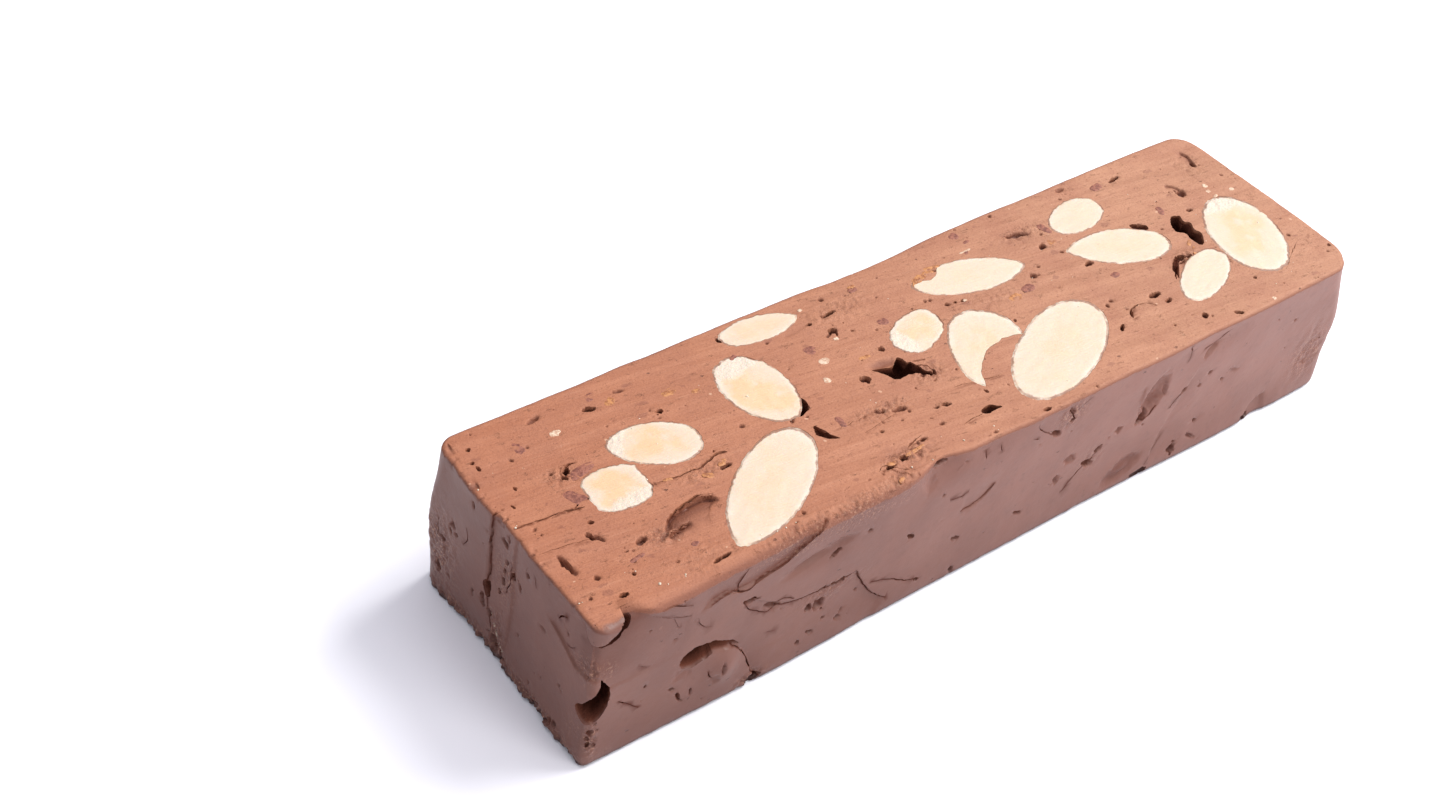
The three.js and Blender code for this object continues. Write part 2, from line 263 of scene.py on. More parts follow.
def rounded(box):
    """The x and y of a plain box's points once its edges and corners are rounded."""
    x, y, z = box.T
    inset = round_in(FOOT_EDGE, FOOT_EDGE - z) + round_in(TOP_EDGE, z - (HEIGHT - TOP_EDGE))
    half_x, half_y = LENGTH / 2 - inset, WIDTH / 2 - inset
    radius = np.maximum(corner_radius(x, y, z) - inset, LEAST_RADIUS)
    px, py = np.abs(x) * half_x / (LENGTH / 2), np.abs(y) * half_y / (WIDTH / 2)
    q, t = (px - half_x + radius) / radius, (py - half_y + radius) / radius
    corner = (q > 0) & (t > 0)
    round_x = half_x - radius + radius * q * np.sqrt(np.clip(1 - t * t / 2, 0, 1))
    round_y = half_y - radius + radius * t * np.sqrt(np.clip(1 - q * q / 2, 0, 1))
    px, py = np.where(corner, round_x, px), np.where(corner, round_y, py)
    return np.sign(x) * px, np.sign(y) * py


def left_fold(across, up):
    """How far the left end is folded in beside the line of its fold."""
    fold = FOLD_STEP * (1 - smooth(across, FOLD_AT - FOLD_SHARP, FOLD_AT + FOLD_SHARP))
    return fold * smooth(up, *FOLD_RISE) * smooth(across, FOLD_AT - FOLD_REACH, FOLD_AT)


def bar_shape(box):
    """Moves the points of a plain box to the bar's rounded and unevenly pressed form."""
    px, py = rounded(box)
    z = box[:, 2]
    along, across = px + LENGTH / 2, py + WIDTH / 2
    lean = END_LEAN * np.clip((z - LEAN_FROM) / (HEIGHT - LEAN_FROM), 0, 1) ** LEAN_POWER
    lip = lip_radius(along)
    lip = np.where(lip > 0.1, round_in(np.maximum(lip, 0.1), z - (HEIGHT - lip)), 0)

    def near(share):
        return np.clip(share, 0, 1) ** FACE_FALLOFF

    front, back = near(-2 * py / WIDTH), near(2 * py / WIDTH)
    left, right = near(-2 * px / LENGTH), near(2 * px / LENGTH)
    py = py + front * (press("front", along, z) + lip)
    py = py - back * press("back", along, z)
    px = px + left * (press("left", across, z) + left_fold(across, z))
    px = px - right * (press("right", across, z) + lean)
    pz = z - TOP_DIP * smooth(z, HEIGHT / 2, HEIGHT) * unevenness("top", along, across)
    return np.stack([px, py, pz], axis=1)


def place(along, across, up=0.0):
    return np.array([along - LENGTH / 2, across - WIDTH / 2, up])


FACES = {  # which axis a face's normal lies on, and its sign
    "front": (1, -1), "back": (1, 1), "left": (0, -1), "right": (0, 1), "top": (2, 1),
}


def face_out(face):
    """The way that a face looks."""
    axis, sign = FACES[face]
    out = np.zeros(3)
    out[axis] = sign
    return out


def on_face(face, s, t):
    """Points of the unmarked bar at places on one of its faces."""
    s, t = np.atleast_1d(np.asarray(s, float)), np.atleast_1d(np.asarray(t, float))
    axis, sign = FACES[face]
    if axis == 2:
        box = np.column_stack([s - LENGTH / 2, t - WIDTH / 2, np.full(len(s), HEIGHT)])
    elif axis == 1:
        box = np.column_stack([s - LENGTH / 2, np.full(len(s), sign * WIDTH / 2), t])
    else:
        box = np.column_stack([np.full(len(s), sign * LENGTH / 2), s - WIDTH / 2, t])
    return bar_shape(box)


# ---- Marks on the faces ----
# A pit is s, t, length, width, turn in degrees, depth, and how soft its wall is.
PITS = {
    "top": [
        (61.7, 19.9, 1.3, 1.1, 0, 1.6, 0.1), (126, 25.2, 1.2, 1, -20, 1.6, 0.1),
        (111.4, 22.7, 1.1, 0.8, -20, 1, 0.2), (139.1, 28.2, 1.6, 1.4, 20, 1, 0.4),
        (147.3, 33.1, 1.4, 0.9, 60, 0.9, 0.4), (13.3, 26.9, 1.4, 0.9, 35, 1.6, 0.1),
        (12.3, 25.8, 0.8, 0.5, -60, 0.9, 0.2), (18.2, 10.4, 3.2, 0.8, 30, 0.4, 0.6),
        (22.1, 2.8, 3.2, 0.6, 8, 1.2, 0.2), (7, 4.2, 1.1, 0.6, 0, 1.2, 0.1),
        (3.6, 12.3, 0.9, 3.6, 2, 0.9, 0.5), (22.8, 35.2, 1.7, 0.8, -18, 1.2, 0.2),
        (31.5, 29.8, 0.9, 0.9, 0, 1.1, 0.1), (64.5, 30.7, 1.3, 1.1, 25, 1.5, 0.1),
        (63.3, 30.3, 1.7, 0.5, 15, 0.5, 0.3), (66.2, 34, 2.7, 0.5, 3, 1.1, 0.2),
        (68.2, 23.8, 1, 0.8, -20, 1, 0.2), (55.7, 4.5, 1.5, 0.8, 20, 1.4, 0.2),
        (52.6, 4, 1.2, 0.7, 10, 1, 0.2), (81.2, 1.1, 1.2, 0.5, 5, 0.8, 0.2),
        (60.8, 6, 0.7, 0.6, 5, 0.8, 0.2), (107.5, 29.5, 1.5, 0.9, 12, 1, 0.3),
        (106, 33.9, 4.3, 1, -13, 0.9, 0.4), (115.2, 11.5, 2.5, 0.9, 3, 1.3, 0.2),
        (116.3, 9.5, 0.9, 0.6, 30, 0.8, 0.2), (118.7, 3.9, 1.3, 0.9, 10, 1.2, 0.2),
        (124.2, 1.5, 1.5, 0.5, -25, 0.9, 0.2), (104.5, 8.4, 1.7, 0.5, 40, 1, 0.2),
        (106.4, 13.5, 0.6, 0.9, 0, 0.8, 0.2), (131.3, 36.7, 2.8, 0.6, 10, 0.8, 0.3),
        (127.3, 15.7, 1.4, 0.5, -10, 1.1, 0.2), (66.2, 21.2, 4.6, 1.7, -8, 0.5, 0.9),
        (71.9, 16, 1.4, 0.5, 68, 0.9, 0.3), (61.9, 12.4, 2.4, 0.6, -12, 0.7, 0.4),
        (58.9, 13.7, 1.2, 0.5, -30, 0.6, 0.4), (55.8, 4.4, 1.3, 0.8, 15, 0.9, 0.3),
        (60.7, 5.9, 1.5, 0.7, 10, 0.8, 0.4), (4, 37, 0.8, 0.6, 45, 1, 0.2),
        (3.1, 34.5, 0.6, 0.5, 0, 0.8, 0.2), (3.3, 33.2, 0.4, 0.9, 0, 0.8, 0.2),
        (5.5, 27.5, 0.4, 0.8, 0, 0.7, 0.2), (3.4, 24.7, 0.3, 0.8, 0, 0.6, 0.2),
        (9.2, 14.9, 0.7, 1.3, 15, 1.1, 0.2), (10.2, 6.6, 0.5, 0.6, 0, 0.8, 0.1),
        (11.7, 10.3, 0.6, 0.4, 0, 0.6, 0.2), (83.9, 26.5, 1, 0.6, -20, 0.9, 0.2),
        (85.4, 26.2, 0.8, 0.4, 0, 0.7, 0.2), (86.9, 25.9, 1.3, 0.5, 0, 0.9, 0.2),
        (101.2, 25, 1.3, 1, 20, 0.8, 0.4), (75.9, 8.9, 0.4, 0.9, 10, 0.8, 0.2),
        (68.9, 9.7, 1.1, 0.5, -15, 0.9, 0.2), (67.1, 10, 0.9, 0.3, 0, 0.6, 0.2),
        (78.3, 28.4, 0.6, 0.4, 0, 0.6, 0.2), (120.6, 39, 2, 0.9, 5, 0.5, 0.6),
        (136.8, 24.2, 1, 0.6, 15, 0.8, 0.3), (32.8, 16.1, 1.8, 0.6, 8, 1, 0.2),
        (51.2, 28.1, 0.7, 0.5, 0, 0.6, 0.2), (48, 37.8, 0.8, 1, 20, 1, 0.2),
        (62.3, 12.5, 1.4, 0.6, -25, 0.7, 0.3), (90.8, 18.3, 0.5, 0.6, 0, 0.6, 0.2),
        (62.2, 33.6, 0.9, 0.5, 10, 0.8, 0.2), (133.2, 6.2, 0.8, 0.5, 0, 0.6, 0.3),
        (10.7, 17.1, 0.7, 0.5, -20, 0.7, 0.2), (14.6, 10.9, 1.8, 1, 20, 0.9, 0.4),
        (10, 14.2, 0.6, 1.6, 20, 0.6, 0.4), (15, 37.4, 2.4, 0.7, 12, 0.5, 0.4),
        (28.6, 36.2, 2, 0.6, -10, 0.5, 0.4), (56.6, 10.2, 0.7, 0.4, 0, 0.6, 0.3),
    ],
    "front": [
        (25.9, 18.1, 2.6, 0.9, -20, 0.7, 0.3), (41.4, 18.7, 1.4, 0.7, 30, 1.1, 0.2),
        (42.2, 20.6, 5.2, 2, 4, 0.5, 0.8), (37, 19.6, 9, 1.6, 8, 0.5, 0.8),
        (30.4, 14.7, 3.2, 0.9, -20, 0.6, 0.3), (43.4, 11.9, 2.4, 0.9, -8, 1, 0.2),
        (40.2, 12.2, 2.2, 0.6, 8, 0.6, 0.3), (37.9, 9.6, 1.6, 1.2, 25, 0.9, 0.2),
        (40, 9.2, 2, 1.9, -30, 0.8, 0.3), (56.2, 14.4, 1.4, 0.6, -35, 1, 0.2),
        (83.8, 21.3, 2.2, 0.8, -30, 1, 0.2), (86.3, 24.6, 1.6, 0.7, -50, 0.5, 0.4),
        (86.9, 22.4, 0.8, 0.6, 0, 0.7, 0.3), (94.4, 9.5, 3, 1.2, -28, 1.2, 0.3),
        (96.3, 11.7, 1.5, 0.9, 20, 0.9, 0.3), (89.2, 13.1, 2.4, 1.6, -30, 0.6, 0.6),
        (87.2, 9.8, 1.4, 1.1, -40, 0.6, 0.6), (100, 14, 1.4, 1.2, 0, 0.5, 0.5),
        (114.3, 15.9, 1.6, 0.9, 30, 1, 0.3), (115.5, 2.9, 1.6, 1.8, 20, 1.4, 0.2),
        (119.9, 3.4, 2.4, 0.8, -35, 0.6, 0.5), (120, 17, 0.8, 0.7, 0, 0.5, 0.4),
        (106.5, 18.3, 7.6, 4.2, 72, 1.3, 0.6), (105, 14.2, 3, 1.5, 45, 1.4, 0.25),
        (108.9, 18.6, 0.7, 3.4, 10, 0.6, 0.5), (103.5, 3.8, 8.6, 3.6, 17, 0.7, 0.45),
        (22.4, 7.2, 2.4, 0.6, 84, 0.5, 0.4), (147, 7.1, 1.4, 1.2, 0, 0.3, 0.6),
        (126.5, 14.6, 2.6, 0.8, -15, 0.3, 0.6), (118, 22.8, 3.4, 1.2, 40, 0.5, 0.6),
        (41, 5.9, 0.9, 0.5, 0, 0.6, 0.3), (38.6, 4.4, 1.6, 0.6, -25, 0.5, 0.4),
        (43.9, 4.2, 0.8, 0.5, 0, 0.6, 0.3), (47.4, 7.6, 0.7, 0.5, -20, 0.6, 0.3),
        (66.7, 8.1, 1.4, 0.6, -15, 0.6, 0.3), (79.7, 6.6, 2, 0.6, -25, 0.6, 0.3),
        (66.9, 1.4, 1.6, 0.9, -55, 0.8, 0.3), (59.3, 3.6, 1.1, 0.6, -20, 0.8, 0.3),
        (9.2, 11, 0.5, 0.6, 0, 0.6, 0.2), (13.9, 7.4, 1, 0.5, -25, 0.7, 0.3),
        (15.1, 5.4, 0.5, 1.8, 20, 0.7, 0.3), (17.3, 4.9, 0.4, 1.2, 0, 0.6, 0.3),
        (60.3, 25.9, 2.4, 0.7, 6, 1.3, 0.15), (0.7, 6.8, 0.7, 0.9, 0, 0.7, 0.3),
        (1.1, 4.2, 0.5, 0.8, 20, 0.6, 0.3), (58.4, 23.6, 2.4, 3.2, 0, 0.3, 0.9),
        (15.6, 9.6, 3, 2, 0, 0.3, 0.8), (21.2, 5.6, 1.6, 1.2, -30, 0.3, 0.7),
    ],
    "left": [
        (36.7, 6.3, 0.9, 1.8, 0, 1.1, 0.3), (35.7, 12.8, 1.2, 0.8, 10, 0.6, 0.4),
        (33.6, 17.2, 1, 0.9, 0, 0.5, 0.4), (29.4, 24.6, 0.6, 1, -20, 0.5, 0.4),
        (22, 23.4, 1.4, 0.7, 20, 0.8, 0.4), (19.8, 19.2, 0.9, 1.2, 0, 0.8, 0.3),
        (21.8, 18.4, 0.7, 1.4, 0, 0.8, 0.3), (21.9, 16.4, 0.6, 1.4, 0, 0.8, 0.3),
        (28.4, 8.6, 0.5, 1.2, 0, 0.7, 0.3), (11.8, 16.9, 1.3, 0.7, 20, 0.3, 0.6),
        (17.4, 10, 0.5, 0.8, 0, 0.4, 0.5), (26, 9.3, 0.9, 1.8, -10, 0.9, 0.3),
        (22.9, 3.2, 2, 2.6, 0, 0.9, 0.5), (9.6, 1.2, 1.6, 1.4, 0, 1.2, 0.4),
        (21.3, 20.6, 0.6, 1.2, 20, 0.5, 0.3), (22.6, 13.6, 0.5, 0.9, 0, 0.6, 0.3),
        (20.9, 0.8, 1.4, 2.2, 0, 1.1, 0.4), (24.2, 8, 0.9, 1.4, 0, 1, 0.3),
    ],
    "back": [
        (12, 8, 3, 1.4, 20, 0.9, 0.4), (23, 20, 2.2, 0.8, -30, 0.8, 0.3), (44, 6, 1.6, 1.2, 0, 1, 0.3),
        (68, 19, 3.4, 0.9, 12, 0.8, 0.4), (79, 8, 1.8, 1.8, 0, 1.1, 0.3),
        (106, 17, 2.6, 1, -25, 0.8, 0.4), (128, 22, 1.6, 0.7, 15, 0.7, 0.3),
        (141, 10, 2.2, 1.5, 40, 0.9, 0.4),
    ],
    "right": [
        (8, 9, 1.8, 1, 20, 0.8, 0.3), (19, 22, 2.4, 0.8, -15, 0.7, 0.4),
        (31, 15, 1.4, 1.2, 0, 0.9, 0.3), (35, 21, 1.2, 0.6, 30, 0.6, 0.3),
        (2, 12.6, 1.2, 1.6, 0, 1, 0.3),
    ],
}

# Paths that are both a crack and the edge of a lap.
FRONT_SPLIT = [(46.4, 12.5), (47.6, 10.2), (49.3, 7.2), (51.5, 4.5), (53.4, 3.1)]
BACK_LEFT_SPLIT = [(16, 23), (20, 21.2), (23.5, 22), (29, 20.4), (33, 20.9)]
BACK_FOOT_SPLIT = [(58, 4), (63, 8), (71, 9.6), (76, 13)]
BACK_RIGHT_SPLIT = [(92, 20.4), (95, 18.2), (99, 18.8), (104, 17)]
RIGHT_SPLIT = [(5, 18.2), (9, 17.6), (12.5, 19.2), (17, 18.8)]

# A crack is a path, its width and its depth: a sharp cut into the surface.
CRACKS = {
    "top": [
        ([(0.3, 21.4), (4, 21), (7.6, 20.6), (9.4, 20.3), (11, 19.9)], 0.3, 0.7),
        ([(9.6, 20.2), (11.4, 21.2), (13, 20.6)], 0.35, 0.6),
        ([(22.2, 18.4), (24.6, 18), (27.8, 17.8), (30, 17.6)], 0.2, 0.5),
        ([(29.6, 17.6), (31.4, 18.2), (33.2, 18.6), (34.4, 18.2)], 0.5, 0.9),
        ([(0.5, 15.7), (3, 15.4), (6, 15), (9.6, 14)], 0.16, 0.3),
        ([(15.2, 27.6), (13.9, 27.8), (12.8, 27.4), (12.2, 26.2), (12.8, 25.4)], 0.3, 0.6),
        ([(50.5, 3.1), (52.3, 3.9), (54, 1.8), (55.6, 0.7)], 0.3, 0.8),
        ([(51.2, 3.9), (52.4, 3.7), (53.9, 4.1)], 0.25, 0.5),
        ([(57.6, 5.2), (59.4, 5.9), (61, 6.2)], 0.3, 0.6),
        ([(108, 8.9), (108.5, 10), (109.6, 10.8), (111.2, 10.9)], 0.45, 1),
        ([(111.2, 10.9), (112.8, 10.4), (113.6, 9.2)], 0.25, 0.4),
        ([(121.6, 12.2), (122.8, 13.8), (124, 15), (125.9, 16.5)], 0.55, 1.2),
        ([(123.9, 14.9), (125.6, 15), (127.6, 15.3)], 0.35, 0.8),
        ([(72.2, 11.8), (76, 10.9), (80, 10)], 0.16, 0.35),
        ([(68, 4.7), (70.2, 5), (72, 4.9)], 0.22, 0.4),
        ([(103.9, 34.6), (106, 33.9), (108, 33.2)], 0.35, 0.6),
        ([(50.8, 13.6), (54.6, 13.6), (58.8, 13.9)], 0.14, 0.25),
        ([(54, 10.9), (57.4, 11.4), (60.8, 11.9)], 0.14, 0.25),
        ([(85.6, 21.6), (86.4, 19.6), (87.6, 18.2)], 0.14, 0.25),
        ([(140.6, 4.4), (145.6, 7.2), (150.4, 9.4)], 0.14, 0.25),
        ([(19.6, 12), (21.5, 12.9), (23.5, 13.2), (25.8, 13.3), (27.7, 12.6)], 0.35, 0.9),
        ([(18.3, 9.7), (20.2, 10), (22, 10.3)], 0.4, 0.8),
        ([(70.2, 18.4), (71.4, 17.8), (72.2, 16.2)], 0.3, 0.7),
        ([(70.8, 19.2), (72.4, 18.6)], 0.25, 0.5),
        ([(86, 34.3), (87.5, 33.9), (89.4, 33.5)], 0.45, 0.8),
    ],
    "front": [
        ([(19, 21.7), (21.2, 22.3), (23.6, 21.6), (25.4, 21), (27, 21.6), (32.1, 22.8), (36.1, 24.9),
          (38.9, 26.4)], 0.3, 0.9),
        ([(23.6, 21.6), (23.7, 23.2), (24.9, 25.4)], 0.45, 0.9),
        ([(25, 18.3), (26, 16.6), (27.6, 15.1), (29.4, 13.8), (31.6, 13.9), (34.4, 12.9), (37.4, 12.2),
          (41.4, 11.8), (44, 11.8), (46.4, 12.4)], 0.26, 0.7),
        ([(25, 18.4), (26.6, 18.4), (27.8, 17.8)], 0.5, 0.8),
        ([(30.6, 14.6), (32.6, 14.9), (34.6, 13.6)], 0.2, 0.5),
        (FRONT_SPLIT, 0.3, 0.7),
        ([(50.2, 7.7), (54.2, 6.4), (57, 4.6), (60, 3.5)], 0.24, 0.6),
        ([(4.9, 10.6), (6.2, 9.4), (8.4, 7.1)], 0.24, 0.7),
        ([(9.2, 25), (11.5, 23.6), (15.5, 21.6)], 0.16, 0.3),
        ([(10.4, 25.6), (12.6, 25.4), (15.6, 23.6)], 0.2, 0.4),
        ([(12, 24), (13.2, 21), (14.2, 20.2)], 0.14, 0.25),
        ([(66.2, 14), (69.5, 14.3), (71.4, 15.4), (72.4, 16.8)], 0.3, 0.6),
        ([(63.1, 18), (65, 17.6), (66.8, 17.9)], 0.24, 0.5),
        ([(79.2, 25), (80.2, 23.6), (82.4, 21.9), (84.4, 20.8)], 0.24, 0.6),
        ([(78.6, 22.8), (80, 22.2)], 0.2, 0.4),
        ([(86, 25.6), (86.6, 23.8), (87.6, 22.6)], 0.3, 0.6),
        ([(86.6, 24.2), (88.4, 24.6), (90.4, 25.6)], 0.16, 0.3),
        ([(89.4, 5.9), (91, 7.4), (93, 9.2), (95.4, 10.2)], 0.3, 0.8),
        ([(94.6, 9.6), (96.2, 11.6), (97, 12.2)], 0.3, 0.7),
        ([(111.8, 13.1), (112.8, 14.6), (114.5, 16.1)], 0.3, 0.7),
        ([(104.2, 13.2), (106, 13.6), (107.8, 15.4)], 0.35, 0.8),
        ([(112, 26), (112.8, 24.2), (112.6, 22.6)], 0.2, 0.3),
        ([(116.2, 23.4), (119, 24.2), (121.4, 25.2)], 0.24, 0.5),
        ([(109.4, 2.2), (110.6, 4.4), (112.4, 7.4)], 0.2, 0.3),
        ([(7.6, 16.2), (9.2, 14.9)], 0.12, 0.3),
        ([(30.2, 9.2), (31.8, 8.6)], 0.12, 0.3),
        ([(16.8, 20.4), (17.8, 18.2), (19.6, 16.8)], 0.12, 0.25),
        ([(68.6, 25.2), (69, 23.6)], 0.16, 0.4),
        ([(71.8, 25), (72.2, 23)], 0.14, 0.3),
        ([(63.6, 23.6), (64.4, 24.4)], 0.16, 0.35),
        ([(23.3, 11), (25, 9.2), (26.6, 6.9), (27.5, 4.6), (28.1, 2.6), (29.7, 0.7)], 0.35, 0.8),
        ([(20.1, 7.4), (20.3, 6.4), (21.2, 5.4)], 0.2, 0.4),
    ],
    "left": [
        ([(25, 28), (25.1, 23), (24.9, 18), (25, 13.8)], 0.3, 1.2),
        ([(25, 10.8), (24.6, 9), (23.8, 6), (22.8, 1.6)], 0.4, 0.9),
        ([(7, 23.6), (8, 23.1), (8.7, 22)], 0.5, 0.7),
        ([(6.5, 18.9), (5.6, 19.1), (4.6, 20.1)], 0.2, 0.4),
        ([(20.4, 21.6), (20.2, 17.8), (21.2, 14.8)], 0.2, 0.5),
        ([(21, 4.4), (20.6, 0.6)], 0.5, 0.9),
        ([(30.6, 19.4), (30, 17.6), (30.9, 15.8)], 0.16, 0.3),
        ([(37.2, 15.6), (37, 12.6)], 0.2, 0.5),
        ([(14.6, 24.4), (14, 22.8)], 0.14, 0.3),
    ],
    "back": [
        (BACK_LEFT_SPLIT, 0.25, 0.6),
        (BACK_FOOT_SPLIT, 0.25, 0.6),
        (BACK_RIGHT_SPLIT, 0.25, 0.5),
        ([(112, 5), (117, 5.6), (119.5, 8.2), (125, 8.9)], 0.3, 0.5),
        ([(133, 15.2), (137, 16.8), (140, 16.2), (145, 18.4)], 0.22, 0.5),
    ],
    "right": [
        (RIGHT_SPLIT, 0.25, 0.5),
        ([(22, 5.2), (25.5, 6.4), (28, 5.8), (33, 7.6)], 0.25, 0.5),
    ],
}

# A lap is a path, how far the surface to its left is pressed in beside it, and over
# what reach that dies away: one layer of nougat over another.
LAPS = {
    "top": [
        ([(138.1, 31.4), (139.2, 30.4), (139.7, 29.2), (139.2, 28.2)], -0.5, 0.6),
        ([(147.9, 36.9), (148.3, 35.4), (148, 34), (147.2, 32.7)], -0.6, 0.6),
        ([(56.5, 33), (60, 33.2), (63.5, 34.2)], 0.15, 1.5),
        ([(18.4, 10.8), (20.2, 12.4), (21.5, 12.8), (23.5, 13.1), (25.8, 13.2), (27.6, 12.5),
          (28.2, 11.4)], -1.1, 1.3),
        ([(17.8, 9.5), (18.7, 9.7), (20.2, 10.1), (22.4, 10.5)], -0.8, 0.5),
        ([(85.5, 22.6), (85.8, 20.4), (87.4, 18.4), (89.6, 17.4)], 0.12, 2),
    ],
    "front": [
        ([(6.2, 28.4), (5, 26.7), (4, 26), (2.7, 25), (1.4, 24), (0.4, 23.6), (-3, 23.5)], 1.5, 3.6),
        ([(17, 21.2), (21.2, 22.3), (23.6, 21.5), (27, 21.6), (32.1, 22.8), (36.1, 24.9), (40, 27)],
          0.5, 3.5),
        ([(25, 18.6), (27.6, 17.4), (31, 15), (37.1, 12.5), (46.6, 12.3)], -0.25, 2.5),
        (FRONT_SPLIT, -0.4, 4),
        ([(66, 13.9), (69.5, 14.1), (71.6, 15.5), (72.5, 17.4)], 0.25, 3),
        ([(79, 25), (80.2, 23.6), (82.4, 21.9), (84.4, 20.8)], 0.2, 2),
        ([(110, 2.4), (110.8, 6.6), (112.4, 10.4), (116, 20)], -0.25, 4),
        ([(133.4, 1), (135, 3.4), (138.6, 4.2)], -0.5, 3),
        ([(103.4, 22), (103.8, 17.4), (104.8, 13.6)], -0.2, 3),
        ([(22.6, 11.2), (25, 9.2), (26.6, 6.9), (27.5, 4.6), (28.1, 2.6), (29.7, 0.2)], 0.45, 1.8),
    ],
    "left": [
        ([(-3, 23.5), (1.1, 23.5), (1.9, 23.8), (2.7, 24.8), (3.2, 26.6)], -0.6, 1.6),
        ([(11.2, 20.4), (9.5, 19.7), (7.8, 18.9), (5.7, 17.4), (4.3, 16.6), (2.4, 16.8), (-3, 17)],
          -0.36, 2.6),
        ([(19.6, 27.5), (20, 20), (19.6, 12), (20.4, 3)], -0.3, 2.5),
    ],
    "back": [
        (BACK_LEFT_SPLIT, 0.3, 4),
        (BACK_RIGHT_SPLIT, 0.2, 3),
        (BACK_FOOT_SPLIT, -0.3, 4),
    ],
    "right": [(RIGHT_SPLIT, 0.25, 3)],
}

# Small random pores: how many for each square centimetre, the range of length,
# how much longer than wide they are, and the main turn with its spread.
PORES = {
    "top": (5.0, (0.25, 0.8), 2.6, STREAK_TURN, 30),
    "front": (1.0, (0.3, 0.9), 3.4, -25, 40),
    "left": (2.6, (0.3, 1.0), 3.0, 75, 40),
    "back": (1.6, (0.3, 1.0), 3.0, 10, 50),
    "right": (2.0, (0.3, 1.0), 3.0, 10, 60),
}
FACE_SIZE = {
    "top": (LENGTH, WIDTH), "front": (LENGTH, HEIGHT), "back": (LENGTH, HEIGHT),
    "left": (WIDTH, HEIGHT), "right": (WIDTH, HEIGHT),
}
PORE_SEEDS = {"top": 71, "front": 72, "left": 73, "back": 74, "right": 75}
MM2_PER_CM2 = 100
PORE_EDGE = 0.8  # no pore's middle is nearer the edge of its face
SMALL_PORES = 2.5  # the higher, the more of the pores are small


def all_pits(face):
    rng = np.random.default_rng(PORE_SEEDS[face])
    per_cm2, (least, most), stretch, turn, spread = PORES[face]
    size_s, size_t = FACE_SIZE[face]
    pores = []
    for _ in range(int(per_cm2 * size_s * size_t / MM2_PER_CM2)):
        length = least + (most - least) * rng.random() ** SMALL_PORES
        width = length / rng.uniform(1, stretch)
        at = [rng.uniform(PORE_EDGE, size - PORE_EDGE) for size in FACE_SIZE[face]]
        pores.append((*at, length, width, rng.normal(turn, spread), 0.9 * width, 0.5))
    return PITS[face] + pores


RAGGED_PIT = 1.6  # a pit longer than this has a smoother rim


def pit_share(s, t, pit, wobble):
    """Which places lie in a pit, and how fully, from 0 at its rim to 1."""
    at_s, at_t, length, width, turn, _, soft = pit
    reach = 0.8 * length + width
    near = np.flatnonzero((np.abs(s - at_s) < reach) & (np.abs(t - at_t) < reach))
    c, w = math.cos(math.radians(turn)), math.sin(math.radians(turn))
    ds, dt = s[near] - at_s, t[near] - at_t
    u, v = (ds * c + dt * w) / (length / 2), (dt * c - ds * w) / (width / 2)
    r = np.hypot(u, v) * (1 + 0.5 * min(1, RAGGED_PIT / length) * wobble[near])
    return near, 1 - smooth(r, 1 - 0.9 * soft - 0.15, 1.05 + 0.5 * soft)


def path_distance(s, t, path, margin):
    """Which places lie near a path: their distance, side and share of the way along it."""
    path = np.array(path, float)
    low, high = path.min(0) - margin, path.max(0) + margin
    near = np.flatnonzero((s > low[0]) & (s < high[0]) & (t > low[1]) & (t < high[1]))
    point = np.stack([s[near], t[near]], axis=1)
    lengths = np.hypot(*np.diff(path, axis=0).T)
    best, side, share = np.full(len(near), 1e9), np.zeros(len(near)), np.zeros(len(near))
    for i, (a, b) in enumerate(zip(path, path[1:])):
        run = (b - a) / lengths[i]
        ahead = np.clip((point - a) @ run, 0, lengths[i])
        off = point - a - ahead[:, None] * run
        distance = np.hypot(*off.T)
        closer = distance < best
        best = np.where(closer, distance, best)
        side = np.where(closer, run[0] * off[:, 1] - run[1] * off[:, 0], side)
        share = np.where(closer, (lengths[:i].sum() + ahead) / lengths.sum(), share)
    return near, best, side, share


def smooth_path(path):
    return curve_through(path, 5) if len(path) > 2 else np.array(path, float)


def lap_depth(s, t, lap):
    path, step, reach = lap
    near, distance, side, share = path_distance(s, t, smooth_path(path), 2.5 * reach)
    fade = np.clip(np.sin(np.pi * share) * 3, 0, 1)
    return near, abs(step) * fade * smooth(side * np.sign(step), -0.12, 0.2) * np.exp(-distance / reach)


def face_distance(face, box):
    axis, sign = FACES[face]
    if axis == 2:
        return HEIGHT - box[:, 2]
    return (LENGTH / 2 if axis == 0 else WIDTH / 2) - sign * box[:, axis]


def face_places(face, p):
    along, across, up = p[:, 0] + LENGTH / 2, p[:, 1] + WIDTH / 2, p[:, 2]
    if face == "top":
        return along, across
    return (along if face in ("front", "back") else across), up


def pit_wobble(face, p):
    return Noise(40 + PORE_SEEDS[face])(p, 0.7, 2)


def face_marks(face, s, t, p):
    """How far the marks of one face press each of its points in."""
    depth = np.zeros(len(s))
    wobble = pit_wobble(face, p)
    for pit in all_pits(face):
        near, share = pit_share(s, t, pit, wobble)
        depth[near] = np.maximum(depth[near], pit[5] * share)
    for lap in LAPS[face]:
        near, deep = lap_depth(s, t, lap)
        depth[near] += deep
    return depth


